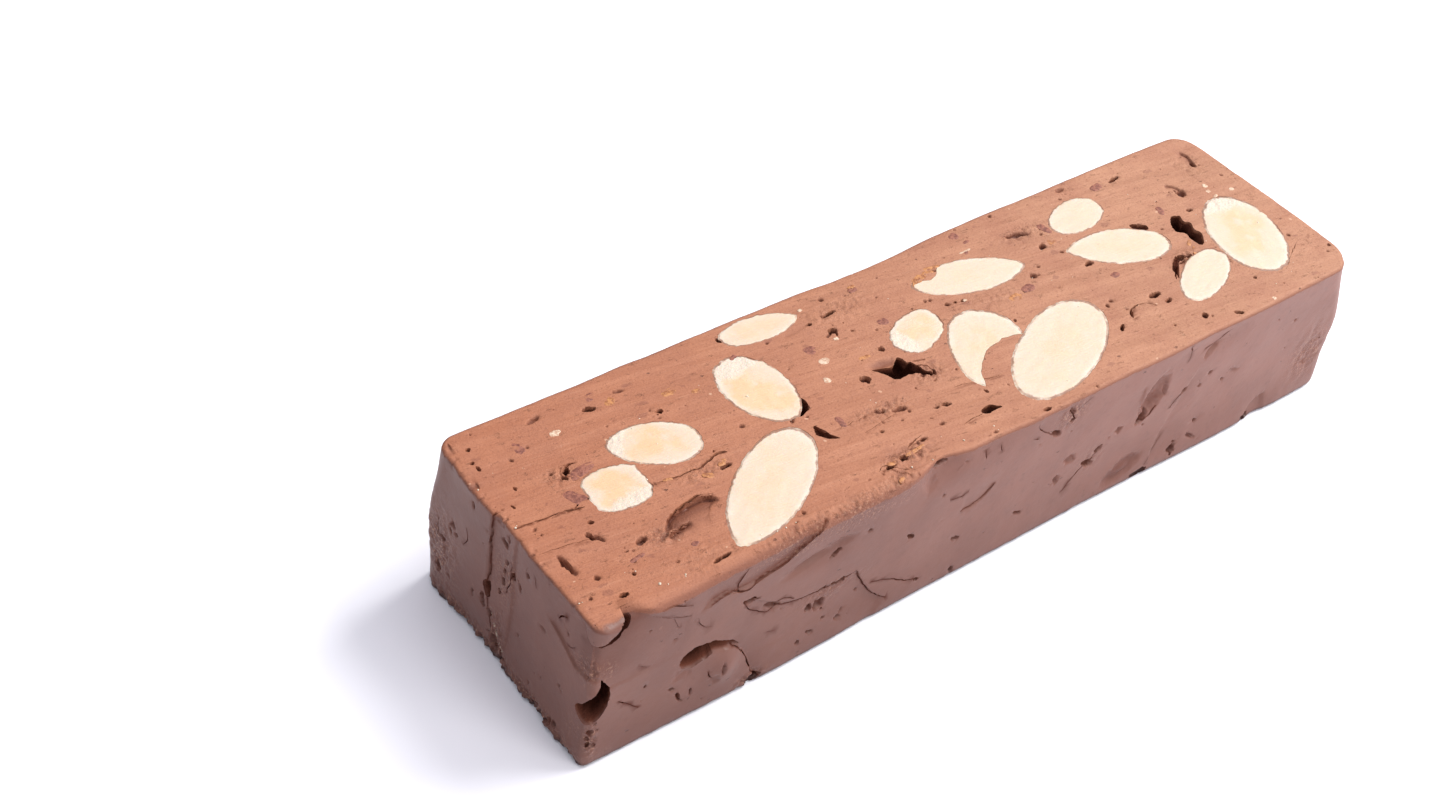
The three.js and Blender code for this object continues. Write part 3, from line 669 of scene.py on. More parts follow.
# Crumbly patches: s, t, reach in s, reach in t, depth and size of the crumbs.
PATCHES = {
    "top": [
        (56.5, 4.4, 4.2, 1.6, 0.4, 0.7), (45, 1, 6, 1.2, 0.3, 0.5), (34, 0.9, 6, 1.2, 0.3, 0.5),
        (17.5, 10.2, 3, 1.6, 0.35, 0.7), (59.6, 13.6, 4.2, 1.4, 0.3, 0.6),
        (52.6, 1.6, 3, 1.4, 0.25, 0.5), (107, 33.8, 4.5, 1.6, 0.25, 0.6), (29, 17, 4, 1.6, 0.25, 0.6),
        (71, 16.2, 2.6, 1.6, 0.4, 0.6), (92, 24, 7, 2.2, 0.12, 0.6), (127, 15.5, 3, 1.6, 0.35, 0.6),
        (12.4, 26.2, 2.4, 1.6, 0.3, 0.6), (146, 33, 3, 3, 0.15, 0.7), (20, 4, 6, 3, 0.1, 0.6),
        (68, 34, 7, 2.4, 0.15, 0.6),
    ],
    "front": [
        (0.8, 5.2, 0.9, 2.6, 0.4, 0.6), (95, 10.5, 3, 2.4, 0.15, 0.8), (0.8, 18.4, 0.9, 1.6, 0.3, 0.6),
        (42, 11, 5, 1.6, 0.2, 0.7), (28, 1.2, 2.2, 1.4, 0.5, 0.8), (148, 9, 4, 5, 0.3, 1.4),
        (86.5, 24, 2.6, 2.4, 0.3, 0.9),
    ],
    "left": [
        (22.3, 4.6, 1.6, 4.4, 0.5, 0.6), (21.4, 17.8, 2.4, 4.6, 0.25, 0.8), (37, 10, 4, 7, 0.3, 0.8),
        (12, 1.4, 10, 1.4, 0.55, 0.8), (1.6, 17.8, 3, 1.4, 0.2, 0.6), (30, 1.2, 9, 1.4, 0.35, 0.8),
    ],
    "back": [(40, 3, 14, 3, 0.2, 0.9), (118, 20, 9, 5, 0.15, 0.8)],
    "right": [(12, 4, 8, 3, 0.25, 0.8), (26, 16, 6, 5, 0.15, 0.8)],
}


def patch_share(s, t, patch):
    at_s, at_t, reach_s, reach_t = patch[:4]
    return np.exp(-((s - at_s) / reach_s) ** 2 - ((t - at_t) / reach_t) ** 2)


def face_grain(face, s, t, p):
    """The fine unevenness of a face: knife drag on the top, pressed skin on the sides."""
    if face == "top":
        q = turned(p, -STREAK_TURN)
        grain = 0.035 * Noise(11)(q, (26, 1.7, 9)) + 0.03 * Noise(12)(q, (9, 0.55, 9))
        grain = grain + 0.035 * Noise(13)(p, 2.6, 3)
    else:
        grain = (0.09 * Noise(21)(p, 6.5, 2) + 0.02 * Noise(22)(p, 1.4)) * smooth(p[:, 2], 0, 3)
    for patch in PATCHES[face]:
        near = patch_share(s, t, patch)
        here = np.flatnonzero(near > 0.03)
        crumbs = Noise(24)(p[here], patch[5], 2)
        grain[here] += patch[4] * near[here] * np.clip(crumbs + 0.25, -0.3, 1)
    return grain


RAGGED_TO = 2.0  # the left end's foot is crumbled up to this height
TORN_DEPTH = 0.5


def crumbled_foot(box, p):
    """The left end's foot is torn and crumbly, and a little of that runs round it."""
    left = 1 - smooth(box[:, 0] + LENGTH / 2, 1.0, 4)
    low = 1 - smooth(box[:, 2], 0.3, RAGGED_TO)
    torn = Noise(31)(p, 2.2, 2) + 0.7 * Noise(34)(p, 0.7, 2)
    p[:, 0] += left * low * TORN_DEPTH * np.clip(torn + 0.1, -0.4, 1)
    lifted = np.clip(Noise(32)(p, 1.5, 3) - 0.1, 0, 1)
    p[:, 2] += left * (1 - smooth(box[:, 2], 0, 0.8)) * lifted
    front = (1 - smooth(box[:, 1] + WIDTH / 2, 0.5, 2)) * low
    p[:, 1] += 0.06 * front * Noise(33)(p, 1.2, 3)


RIM_RAGGED_TO = 1.2
NICK_IN = 0.35
NICK_DOWN = 0.3


def ragged_rim(box, p):
    """The knife left small nicks in the top edge of the left end."""
    left = 1 - smooth(box[:, 0] + LENGTH / 2, 0.4, RIM_RAGGED_TO)
    high = smooth(box[:, 2], HEIGHT - RIM_RAGGED_TO, HEIGHT - 0.2)
    nicks = np.clip(Noise(35)(p, 1.3, 3) - 0.05, 0, 1) * smooth(box[:, 1] + WIDTH / 2, 4, 7)
    p[:, 0] += NICK_IN * left * high * nicks
    p[:, 2] -= NICK_DOWN * left * high * nicks


def marked_bar(step):
    """The points of the bar with its face marks, on a grid of that step, and its squares."""
    box, quads = grid_box(step)
    p = bar_shape(box)
    push = np.zeros_like(p)
    for face, (axis, sign) in FACES.items():
        distance = face_distance(face, box)
        here = np.flatnonzero(distance < MARK_REACH)
        near = p[here]
        s, t = face_places(face, near)
        depth = face_marks(face, s, t, near) + face_grain(face, s, t, near)
        push[here, axis] -= sign * (1 - smooth(distance[here], 0, MARK_REACH)) * depth
    p = p + push
    crumbled_foot(box, p)
    ragged_rim(box, p)
    return p, quads


# ---- Deep holes, cut right out ----
# A hole is its middle, half sizes, raggedness, and how far it is tipped about Y.
HOLES = [
    ((28.2, -0.4, 1.2), (1.6, 1.6, 0.85), 0.35),
    ((108.5, -0.8, 1.1), (2.2, 1.6, 0.8), 0.35),
    ((0.4, 0.2, 6.9), (0.55, 0.5, 0.5), 0.4),
    ((1.2, 0, 8.1), (0.45, 0.5, 0.5), 0.4),
    ((0.3, 0.3, 4.6), (0.4, 0.45, 0.65), 0.4),
    ((1.1, -0.1, 4), (0.4, 0.4, 0.35), 0.4),
    ((0.2, 0.5, 5.7), (0.4, 0.4, 0.4), 0.4),
    ((1.7, 0, 6.8), (0.35, 0.4, 0.4), 0.4),
    ((134, -0.8, 1), (1.7, 1.4, 0.7), 0.3),
    ((-0.9, 11.5, 0.9), (0.8, 0.7, 0.7), 0.35),
    ((-1, 7.8, 2), (0.8, 0.5, 0.9), 0.35, 30),
    ((-1, 1.9, 0.5), (0.7, 0.8, 0.6), 0.35),
    ((-0.4, 22.6, 1.6), (1, 0.8, 1.4), 0.3),
    ((52, 41, 14.5), (2.8, 2, 2), 0.2, -15),
    ((97, 41, 6), (2, 1.6, 1.7), 0.25),
    ((155.4, 25, 13), (1.6, 2.4, 1.9), 0.2),
]
# A hollow is its face, the outline of its mouth there, its depth, and how far its
# floor lies shifted along, across and up.
HOLLOWS = [
    ("top", [(63.7, 20.9), (65.2, 20.6), (66.6, 20), (67.7, 20.4), (68.9, 21.2), (69.4, 20.6),
      (69.6, 19.6), (70.1, 19.3), (70.4, 18.2), (70.9, 16.9), (71.5, 15.6), (70.6, 15.6), (69.8, 16.5),
      (68.9, 17.1), (67.6, 17.3), (65.7, 17.3), (65.1, 18.6), (64.5, 19.8)], 3, (0.3, 1, 0)),
    ("top", [(133.3, 24.5), (134.9, 24), (134.4, 22.5), (135.2, 21.6), (134.4, 20.1), (134.7, 18.6),
      (133.4, 16.8), (132.2, 16.3), (131.8, 18.2), (132.1, 20), (131, 21.2), (131.6, 22.9)],
      3.2, (0, 0.6, 0)),
    ("top", [(125.9, 16.4), (127.1, 16.3), (127.6, 15.5), (126.4, 15.3), (125.4, 15.2), (123.8, 13.7),
      (122.2, 12.3), (123, 14), (124.3, 15.6)], 1.4, (0, 0.3, 0)),
    ("top", [(72.1, 5.1), (73, 5.9), (74.6, 5.7), (75.7, 4.6), (74.3, 4.6), (73.1, 4.5)],
      1.9, (0, 0.3, 0)),
    ("top", [(125.1, 26.6), (126.4, 26), (127.6, 25), (127.1, 24), (125.9, 24.6), (124.9, 25.6)],
      1.8, (0, 0.3, 0)),
    ("top", [(50.6, 21.6), (50.7, 20.2), (49.9, 19), (48, 18.4), (48.6, 19.6), (49.4, 20.6)],
      2, (0.2, 0.3, 0)),
    ("top", [(48.4, 16), (49, 14.9), (49.4, 13.5), (50.2, 12), (48.9, 12.6), (47.9, 13.6),
      (47.6, 14.6)], 1.5, (0.3, 0, 0)),
    ("front", [(14.9, 11.5), (15.1, 13), (17.1, 13.9), (19.5, 13.7), (21.5, 12.9), (23.4, 11.7),
      (25.2, 9.6), (23.4, 10.1), (21.8, 10.6), (20.6, 10.9), (19.6, 10.4), (18.6, 10.2), (17.1, 9.7),
      (15.7, 10)], 3, (0.9, 0, 1.9)),
    ("left", [(25.6, 13.6), (25.9, 12.2), (25.2, 10.6), (24.5, 10.9), (24.4, 12.6), (24.9, 13.8)],
      1.5, (0, 0.2, 0.2)),
]
# The bite out of the near corner, between the front and the left end, under a lip.
CORNER_MOUTH = [
    (1.5, 0.2, 16.4), (1.5, 0.2, 15.3), (1.2, 0.3, 14.6), (0.5, 0.6, 13.7), (0, 2, 11.5),
    (0, 3.3, 10.1), (0, 3, 9.2), (0, 1.9, 8.4), (0.1, 0.6, 8.4), (0.9, 0.2, 8.4), (2.1, 0.2, 9.3),
    (2.9, 0.2, 10.7), (3.2, 0.2, 12.3), (3, 0.2, 14.3), (2.2, 0.2, 15.7),
]
CORNER_OUT = (-0.7, -0.7, 0.1)
CORNER_DEEP = 4.2
CORNER_LEAN = (-0.1, 1.0, 2.2)
# A trough under the near corner's thin flap: along, across, up and its radius there.
# Where its middle lies under the surface its walls are undercut.
FLAP_TROUGH = [
    (5.9, 1.5, 27.2, 0.2), (5.6, 1.5, 26.3, 0.6), (5.2, 1.6, 25.4, 0.85), (4.7, 1.7, 24.5, 0.95),
    (4, 1.7, 23.8, 0.95), (3.2, 1.7, 23.2, 0.85), (2.5, 1.7, 22.8, 0.7), (1.9, 1.9, 22.6, 0.45),
    (1.4, 2.3, 22.7, 0.2),
]


def new_mesh(name, points_mm, faces):
    mesh = bpy.data.meshes.new(name)
    mesh.from_pydata((np.asarray(points_mm) * MM).tolist(), [], [list(map(int, f)) for f in faces])
    mesh.update()
    return mesh


def quad_mesh(name, points_mm, quads):
    """As new_mesh, but fast for a large grid."""
    mesh = bpy.data.meshes.new(name)
    mesh.vertices.add(len(points_mm))
    mesh.vertices.foreach_set("co", (points_mm * MM).astype(np.float32).ravel())
    mesh.loops.add(quads.size)
    mesh.loops.foreach_set("vertex_index", quads.astype(np.int32).ravel())
    mesh.polygons.add(len(quads))
    mesh.polygons.foreach_set("loop_start", np.arange(0, quads.size, 4, dtype=np.int32))
    mesh.update(calc_edges=True)
    return mesh


def mesh_points(mesh):
    co = np.zeros(len(mesh.vertices) * 3, np.float32)
    mesh.vertices.foreach_get("co", co)
    return co.reshape(-1, 3).astype(float) / MM


def add_object(name, data):
    obj = bpy.data.objects.new(name, data)
    bpy.context.scene.collection.objects.link(obj)
    return obj


def link(mesh):
    return add_object(mesh.name, mesh)


def ball(subdivisions):
    """The points and triangles of a round ball of radius 1."""
    bm = bmesh.new()
    bmesh.ops.create_icosphere(bm, subdivisions=subdivisions, radius=1)
    points = np.array([v.co for v in bm.verts])
    triangles = np.array([[v.index for v in f.verts] for f in bm.faces])
    bm.free()
    return points, triangles


def hole_mesh(number, middle, half, ragged, tip=0):
    unit, triangles = ball(4)
    size = np.array(half, float)
    lumps = Noise(100 + number)(unit * size + number * 7.3, 0.8, 3)
    p = unit * size * (1 + ragged * lumps)[:, None]
    tipped = np.array(rotation(tip, "Y", 3))
    return new_mesh(f"hole_{number}", p @ tipped.T + place(*middle), triangles)


def curve_through(knots, steps, closed=False):
    """A smooth run through knots, each a row of values: Catmull-Rom."""
    knots = np.array(knots, float)
    if closed:
        ends = [knots[-1], *knots, knots[0], knots[1]]
    else:
        ends = [2 * knots[0] - knots[1], *knots, 2 * knots[-1] - knots[-2]]
    rows = []
    for a, b, c, d in zip(ends, ends[1:], ends[2:], ends[3:]):
        for t in np.linspace(0, 1, steps, endpoint=False):
            rows.append(0.5 * (2 * b + (c - a) * t + (2 * a - 5 * b + 4 * c - d) * t ** 2
                               + (3 * b - a - 3 * c + d) * t ** 3))
    return np.array(rows if closed else [*rows, knots[-1]])


def facing_out(mesh):
    bm = bmesh.new()
    bm.from_mesh(mesh)
    bmesh.ops.recalc_face_normals(bm, faces=bm.faces)
    bm.to_mesh(mesh)
    bm.free()
    return mesh


def sleeve_faces(rings, around):
    """Faces round a run of rings of points, with both ends closed."""
    faces = []
    for i in range(rings - 1):
        for j in range(around):
            k, base = (j + 1) % around, i * around
            faces.append((base + j, base + k, base + around + k, base + around + j))
    faces.append(tuple(range(around))[::-1])
    faces.append(tuple(range((rings - 1) * around, rings * around)))
    return faces


TROUGH_SIDES = 18
LEAST_TROUGH = 0.08


def unit_rows(vectors):
    return vectors / np.linalg.norm(vectors, axis=1)[:, None]


def trough_mesh(knots):
    rows = curve_through(knots, 9)
    middle = np.array([place(*row[:3]) for row in rows])
    radius = np.maximum(rows[:, 3], LEAST_TROUGH)
    along = unit_rows(np.gradient(middle, axis=0))
    out = unit_rows(np.cross(along, np.cross(CORNER_OUT, along)))
    over = np.cross(along, out)
    c, s = circle(TROUGH_SIDES)
    ring = c[None, :, None] * out[:, None] + s[None, :, None] * over[:, None]
    p = (middle[:, None] + radius[:, None, None] * ring).reshape(-1, 3)
    rough = 0.25 * Noise(200)(p, 0.8, 3) * np.repeat(radius, TROUGH_SIDES)
    p = p + rough[:, None] * ring.reshape(-1, 3)
    return facing_out(new_mesh("trough", p, sleeve_faces(len(rows), TROUGH_SIDES)))


BLADE_OUT = 0.5  # a crack's cutter stands this far out of the surface
BLADE_STEP = 0.3
CRACK_WANDER = 0.14


def crack_rows(crack):
    """The wandering path of a crack, which way lies beside it, and its half width and depth."""
    path, width, depth = crack
    knots = np.array(path, float)
    run = np.hypot(*np.diff(knots, axis=0).T).sum()
    steps = max(3, int(run / (len(knots) - 1) / BLADE_STEP))
    path = curve_through(knots, steps)
    seeds = np.column_stack([path, np.full(len(path), run)])
    along = np.gradient(path, axis=0)
    along /= np.hypot(*along.T)[:, None]
    aside = np.column_stack([-along[:, 1], along[:, 0]])
    path = path + CRACK_WANDER * Noise(401)(seeds, 0.9, 3)[:, None] * aside
    taper = np.clip(np.sin(np.pi * np.linspace(0.03, 0.97, len(path))), 0, 1) ** 0.5
    wide = width * taper * np.clip(0.8 + 0.9 * Noise(402)(seeds, 1.1, 2), 0.25, 2) / 2
    deep = depth * taper * np.clip(1 + 0.4 * Noise(403)(seeds, 1.5), 0.5, 1.5)
    return path, aside, wide[:, None], deep[:, None]


def crack_mesh(name, face, crack):
    """A wedge along a crack's path, point inward, thinning towards its ends."""
    path, aside, wide, deep = crack_rows(crack)
    out = face_out(face)
    middle = on_face(face, *path.T)
    left = on_face(face, *(path + aside * wide).T)
    right = on_face(face, *(path - aside * wide).T)
    spread = (BLADE_OUT + deep) / deep
    rings = np.stack([middle + (left - middle) * spread + out * BLADE_OUT,
                      middle - out * deep,
                      middle + (right - middle) * spread + out * BLADE_OUT], axis=1)
    return facing_out(new_mesh(name, rings.reshape(-1, 3), sleeve_faces(len(path), 3)))


# How wide a hollow is, and how far in, at each level, as shares of its mouth and depth.
HOLLOW_LEVELS = ((1.1, -0.4), (1.0, 0.0), (1.02, 0.2), (0.98, 0.4), (0.84, 0.62), (0.6, 0.85), (0.3, 1.0))


def hollow_mesh(name, mouth, out, deep, lean):
    """A ragged cave behind a mouth in the surface, narrowing as it goes in."""
    middle = mouth.mean(0)
    aside = mouth - middle
    aside = unit_rows(aside - np.outer(aside @ out, out))
    rings = []
    for share, down in HOLLOW_LEVELS:
        ring = middle + (mouth - middle) * share - out * (down * deep) + lean * max(down, 0)
        rough = (0.13 + 0.3 * max(down, 0)) * Noise(500)(ring, 0.8, 3)
        rough = rough + 0.12 * Noise(501)(ring, 0.35, 2)
        rings.append(ring + rough[:, None] * aside)
    return facing_out(new_mesh(name, np.concatenate(rings), sleeve_faces(len(rings), len(mouth))))


def hollow_meshes():
    meshes = []
    for number, (face, outline, deep, lean) in enumerate(HOLLOWS):
        mouth = on_face(face, *curve_through(outline, 6, closed=True).T)
        meshes.append(hollow_mesh(f"hollow_{number}", mouth, face_out(face), deep, np.array(lean)))
    mouth = curve_through(CORNER_MOUTH, 5, closed=True) + place(0, 0)
    out = np.array(CORNER_OUT) / np.linalg.norm(CORNER_OUT)
    return [*meshes, hollow_mesh("corner", mouth, out, CORNER_DEEP, np.array(CORNER_LEAN))]


# ---- Almonds ----
# The sections, left to right, measured as in the solid. ragged is how far the rim
# wanders, warm is how yellow the middle is, and chip names a broken, whiter end by
# its direction in degrees and its distance from the middle.
ALMONDS = [
    dict(at=(17.4, 20.6), long=9.1, wide=7.9, turn=-4, deep=4, egg=0.04, square=0.45,
         ragged=0.25, warm=1, chip=(-80, 1.9)),
    dict(at=(26.8, 24.9), long=14, wide=8.4, turn=-24, deep=4.4, egg=0.14, tail=0.14, square=0.08,
         ragged=0.16, warm=0.75, chip=(170, 4.2)),
    dict(at=(46.5, 26.3), long=15.6, wide=10.3, turn=94, deep=4, egg=0.05, tail=0.08, square=0.07,
         ragged=0.2, warm=1, chip=(0, 4)),
    dict(at=(35.9, 9.9), long=25.1, wide=10.5, turn=32, deep=4.6, egg=0.1, tail=0.15, square=0.03,
         ragged=0.13, warm=0.35),
    dict(at=(54.9, 36.9), long=13.8, wide=5.4, turn=-5, deep=3.4, egg=-0.1, tip=0.2, square=0.04,
         ragged=0.16, warm=0.4),
    dict(at=(75.6, 24.1), long=10.9, wide=6.9, turn=22, deep=4, tail=0.05, square=0.1,
         ragged=0.24, warm=0.6, chip=(175, 2.2)),
    dict(at=(82.4, 15.9), long=17.5, wide=11.6, turn=48, deep=4.4, egg=0.24, square=0.04,
         ragged=0.14, warm=0.45, bite=(86.1, 5.6, 10.5)),
    dict(at=(92.4, 10), long=26.5, wide=12.3, turn=25, deep=4.8, egg=0.04, tail=0.03, square=0.05,
         ragged=0.12, warm=0.35),
    dict(at=(91.8, 30), long=20.8, wide=7.8, turn=-12, deep=4.4, egg=-0.05, tip=0.2, tail=0.12,
         ragged=0.12, warm=0.25, bite=(85.6, 36.2, 3.9)),
    dict(at=(118.2, 32.6), long=12.2, wide=7, turn=10, deep=4, egg=0.05, square=0.05,
         ragged=0.1, warm=0.2),
    dict(at=(118.9, 23.3), long=18.7, wide=8.6, turn=-21, deep=4.4, egg=0.15, tail=0.25,
         ragged=0.12, warm=0.3),
    dict(at=(126.2, 10.9), long=15.2, wide=7, turn=25, deep=4, egg=0.08, tail=0.05, square=0.05,
         ragged=0.12, warm=0.1),
    dict(at=(140.6, 15), long=20, wide=12.9, turn=67, deep=4.6, tip=0.05, square=0.03,
         ragged=0.18, warm=0.6, chip=(14, 6.6)),
]
POCKET_GAP = 0.05
ALMOND_PROUD = 0.03
FRAYED = 0.09  # how far the fine fibres of an almond's cut edge wander
RIM_SIDES = 240
TOP_RINGS = 14
BOWL_RINGS = 6
# Where the rings of an almond's cut face lie, as shares of the way out to its rim.
RING_SHARES = [(i / TOP_RINGS) ** 0.8 for i in range(1, TOP_RINGS)] + [0.97, 0.985, 1.0]
RIM_DROP = 0.06
CHIP_DEEP = 0.1


def section_rim(almond, seed, sides, grow=0.0):
    """The outline of a cut almond round its own middle, with its long axis along X."""
    c, s = circle(sides)
    blunt = 1 - almond.get("square", 0)
    sharp = 1 + almond.get("tip", 0) * (1 + c) + almond.get("tail", 0) * (1 - c)
    u = np.sign(c) * np.abs(c) ** blunt * (almond["long"] / 2)
    v = np.sign(s) * np.abs(s) ** (blunt * sharp) * (1 + almond.get("egg", 0) * c) * almond["wide"] / 2
    rim = np.stack([u, v, np.full(sides, seed * 5.0)], axis=1)
    wander = Noise(300)(rim, 1.3, 3) * almond["ragged"] + FRAYED * Noise(306)(rim, 0.5, 2)
    out = rim[:, :2] / np.maximum(np.linalg.norm(rim[:, :2], axis=1), 1e-6)[:, None]
    return rim[:, :2] + (wander + grow)[:, None] * out


def set_in_bar(almond, local):
    """Turns points of a section to where it lies in the bar's top."""
    return turned(local[:, :2], almond["turn"]) + place(*almond["at"])[:2]


def body_mesh(name, rings, centre_top, centre_foot):
    """A closed body from rings of points, the first nearest the middle of its top."""
    n = len(rings[0])
    p = np.concatenate([[centre_top], *rings, [centre_foot]])
    last = 1 + (len(rings) - 1) * n
    faces = []
    for j in range(n):
        k = (j + 1) % n
        faces.append((0, 1 + j, 1 + k))
        for a in range(1, last, n):
            faces.append((a + j, a + n + j, a + n + k, a + k))
        faces.append((last + j, len(p) - 1, last + k))
    return new_mesh(name, p, faces)


def bowl_rings(almond, rim, deep, from_height):
    rings = []
    for i in range(1, BOWL_RINGS):
        angle = math.pi / 2 * i / BOWL_RINGS
        flat = set_in_bar(almond, rim * math.cos(angle))
        rings.append(raised(flat, from_height - deep * math.sin(angle)))
    return rings


POCKET_FROM = 2.0  # an almond's pocket is cut from this far above the top


def pocket_mesh(number, almond):
    rim = section_rim(almond, number, RIM_SIDES, POCKET_GAP)
    flat = set_in_bar(almond, rim)
    middle = set_in_bar(almond, np.zeros((1, 2)))[0]
    deep = almond["deep"] + POCKET_GAP
    rings = [raised(flat, HEIGHT + up) for up in (POCKET_FROM, 0)]
    rings += bowl_rings(almond, rim, deep, HEIGHT)
    top, foot = (*middle, HEIGHT + POCKET_FROM), (*middle, HEIGHT - deep)
    mesh = body_mesh(f"pocket_{number}", rings, top, foot)
    if "bite" in almond:
        along, across, radius = almond["bite"]
        bitten = cut(link(mesh), [bite_mesh(along, across, radius - POCKET_GAP)])
        mesh = bitten.data
        bpy.data.objects.remove(bitten)
    return mesh


def almond_top(number, almond, rim):
    """Rings of points over the cut face of an almond, in its place."""
    rings = []
    for share in RING_SHARES:
        local = rim * share
        flat = set_in_bar(almond, local)
        grain = raised(local, number * 3.0)
        up = top_over(flat) + ALMOND_PROUD - RIM_DROP * smooth(share, 0.93, 1.0)
        up = up + 0.03 * Noise(301)(grain, (5, 1.2, 1), 2)
        up = up - CHIP_DEEP * chip_share(almond, local) * (0.5 + 0.6 * Noise(302)(grain, 1.0, 2))
        rings.append(raised(flat, up))
    return rings


def almond_marks(number, almond, rim):
    """How warm each point of an almond is, how near the rim, and how much it is chipped."""
    below = BOWL_RINGS - 1
    middle = np.zeros((1, 2))
    local = np.concatenate([middle, *[rim * share for share in RING_SHARES], *[rim] * below, middle])
    share = np.concatenate([[0], np.repeat(RING_SHARES, RIM_SIDES), np.ones(RIM_SIDES * below), [1]])
    uneven = share + 0.28 * Noise(303)(raised(local, number * 2.0), 3.2, 2)
    warm = (1 - smooth(uneven, 0.25, 1.0)) * almond["warm"]
    return {"warm": warm, "rim": share, "chip": chip_share(almond, local)}


def almond_piece(number, almond):
    rim = section_rim(almond, number, RIM_SIDES)
    rings = almond_top(number, almond, rim)
    middle = set_in_bar(almond, np.zeros((1, 2)))[0]
    centre_top = (*middle, rings[0][:, 2].mean())
    rings += bowl_rings(almond, rim, almond["deep"], HEIGHT - TOP_DIP)
    name = f"sliced_almond_{number:02d}"
    mesh = body_mesh(name, rings, centre_top, (*middle, HEIGHT - almond["deep"]))
    write_attributes(mesh, almond_marks(number, almond, rim))
    obj = link(mesh)
    if "bite" in almond:
        obj = cut(obj, [bite_mesh(*almond["bite"])])
    return obj


def chip_share(almond, local):
    if "chip" not in almond:
        return np.zeros(len(local))
    direction, distance = almond["chip"]
    reach = turned(local, -direction)[:, 0]
    ragged = Noise(304)(raised(local, distance), 1.4, 2)
    return smooth(reach + 0.7 * ragged, distance - 0.5, distance + 0.4)


BITE_SIDES = 64


def bite_mesh(along, across, radius):
    """A ragged round bay, cut from top to bottom."""
    ring = raised(np.stack(circle(BITE_SIDES), axis=1), 0.0)
    ragged = radius + 0.3 * Noise(305)(ring * radius, 1.2, 2)
    ring = ring * ragged[:, None] + place(along, across, HEIGHT)
    rings = np.concatenate([ring - (0, 0, HEIGHT / 2), ring + (0, 0, HEIGHT / 2)])
    return facing_out(new_mesh("bite", rings, sleeve_faces(2, BITE_SIDES)))


def write_attributes(mesh, marks):
    """Writes values at a mesh's points, by name, for the materials to read."""
    for name, values in marks.items():
        attribute = mesh.attributes.new(name, "FLOAT", "POINT")
        attribute.data.foreach_set("value", np.asarray(values, np.float32))


def cut(obj, cutters):
    """The object with the cutter meshes taken out of it, as a new object of that name."""
    group = bpy.data.collections.new("cutters")
    bpy.context.scene.collection.children.link(group)
    for mesh in cutters:
        group.objects.link(bpy.data.objects.new(mesh.name, mesh))
    modifier = obj.modifiers.new("cut", "BOOLEAN")
    modifier.operation = "DIFFERENCE"
    modifier.solver = "MANIFOLD"
    modifier.operand_type = "COLLECTION"
    modifier.collection = group
    result = applied(obj)
    for cutter in list(group.objects):
        bpy.data.objects.remove(cutter)
    bpy.data.collections.remove(group)
    for mesh in cutters:
        bpy.data.meshes.remove(mesh)
    return result


def applied(obj):
    """The object with its modifiers worked into its mesh, under the same name."""
    name, old = obj.name, obj.data
    depsgraph = bpy.context.evaluated_depsgraph_get()
    mesh = bpy.data.meshes.new_from_object(obj.evaluated_get(depsgraph))
    bpy.data.objects.remove(obj)
    bpy.data.meshes.remove(old)
    mesh.name = name
    return link(mesh)


# ---- Inclusions and crumbs ----
# Bits of nut skin and caramel lie flush in the cut top: along, across, length, width, turn.
SKINS = [
    (15.2, 25.7, 4.6, 1.6, 14), (11.5, 21.9, 3.4, 2, -62), (12.3, 8.6, 2.8, 0.8, 8),
    (10.1, 33.7, 1.8, 2.4, 10), (58.5, 29, 1.8, 1.5, 0), (96.4, 38.7, 2, 1.5, 20),
    (127.1, 36.6, 2.4, 1.4, 15), (73.1, 36.5, 1.8, 1.1, 10), (72.4, 28.5, 1.6, 1.4, 0),
    (111.1, 32.9, 1.5, 2.4, 10), (113, 18.4, 1.8, 1.2, 0), (97.2, 36.6, 1.5, 0.8, 10),
    (24.5, 37.2, 2.2, 1.3, 5), (53.4, 21.6, 2.4, 2, 10), (95.3, 34.5, 1.2, 0.6, 20),
    (132.1, 26.5, 1.4, 2, -20), (52.6, 14.8, 1.4, 2.6, 0), (98, 23, 2.6, 1.5, 10),
    (47.6, 33.6, 1.6, 0.9, 20), (20.4, 6.7, 1.6, 0.7, 0),
]
CARAMELS = [
    (35, 32.3, 2.9, 1.3, 8), (38.6, 30.6, 1.4, 0.8, 0), (73.4, 37.2, 1.6, 0.9, 0),
    (26.4, 35, 1.8, 1.2, 30), (29.5, 16, 1.9, 0.9, -40), (129.4, 16.1, 2.2, 0.6, 50),
    (130.2, 18, 1.6, 0.8, 40), (109.9, 29.7, 2.2, 1.5, 10), (95.1, 22.3, 2.6, 1.5, 5),
    (53.6, 4.4, 1.9, 0.8, -10), (57.4, 4.7, 2.8, 0.7, 4), (59.3, 4.9, 1.6, 0.7, 10),
    (52.6, 1.2, 1.4, 0.8, 30), (24.2, 18.2, 1.6, 0.7, -20), (32.7, 16.9, 1.8, 0.8, 20),
    (85.2, 33.4, 4.8, 1.7, 4), (64.6, 23.6, 2.4, 1, -8), (87.8, 34.4, 3, 0.9, -8),
    (83.2, 32.5, 2.4, 1.2, 30),
]
IVORIES = [
    (16.1, 33.6, 2.2, 1.2, 12), (62.9, 36.9, 1, 0.8, 0), (56.5, 22.5, 1, 1, 0), (59, 26.1, 1.8, 1, 0),
    (87.1, 25.8, 1, 0.6, 0), (95.3, 34.9, 2.6, 0.5, 2), (11.4, 19.4, 0.7, 0.6, 0),
    (132, 1, 0.8, 0.7, 0), (144.4, 27.6, 1.2, 1, 30), (143.7, 26.2, 1, 0.8, 0),
    (143.8, 24.6, 1.2, 0.7, 20), (63.6, 29, 1, 0.8, 0), (22.9, 22.6, 0.6, 0.6, 0),
    (147.9, 24.6, 0.9, 0.7, 0),
]
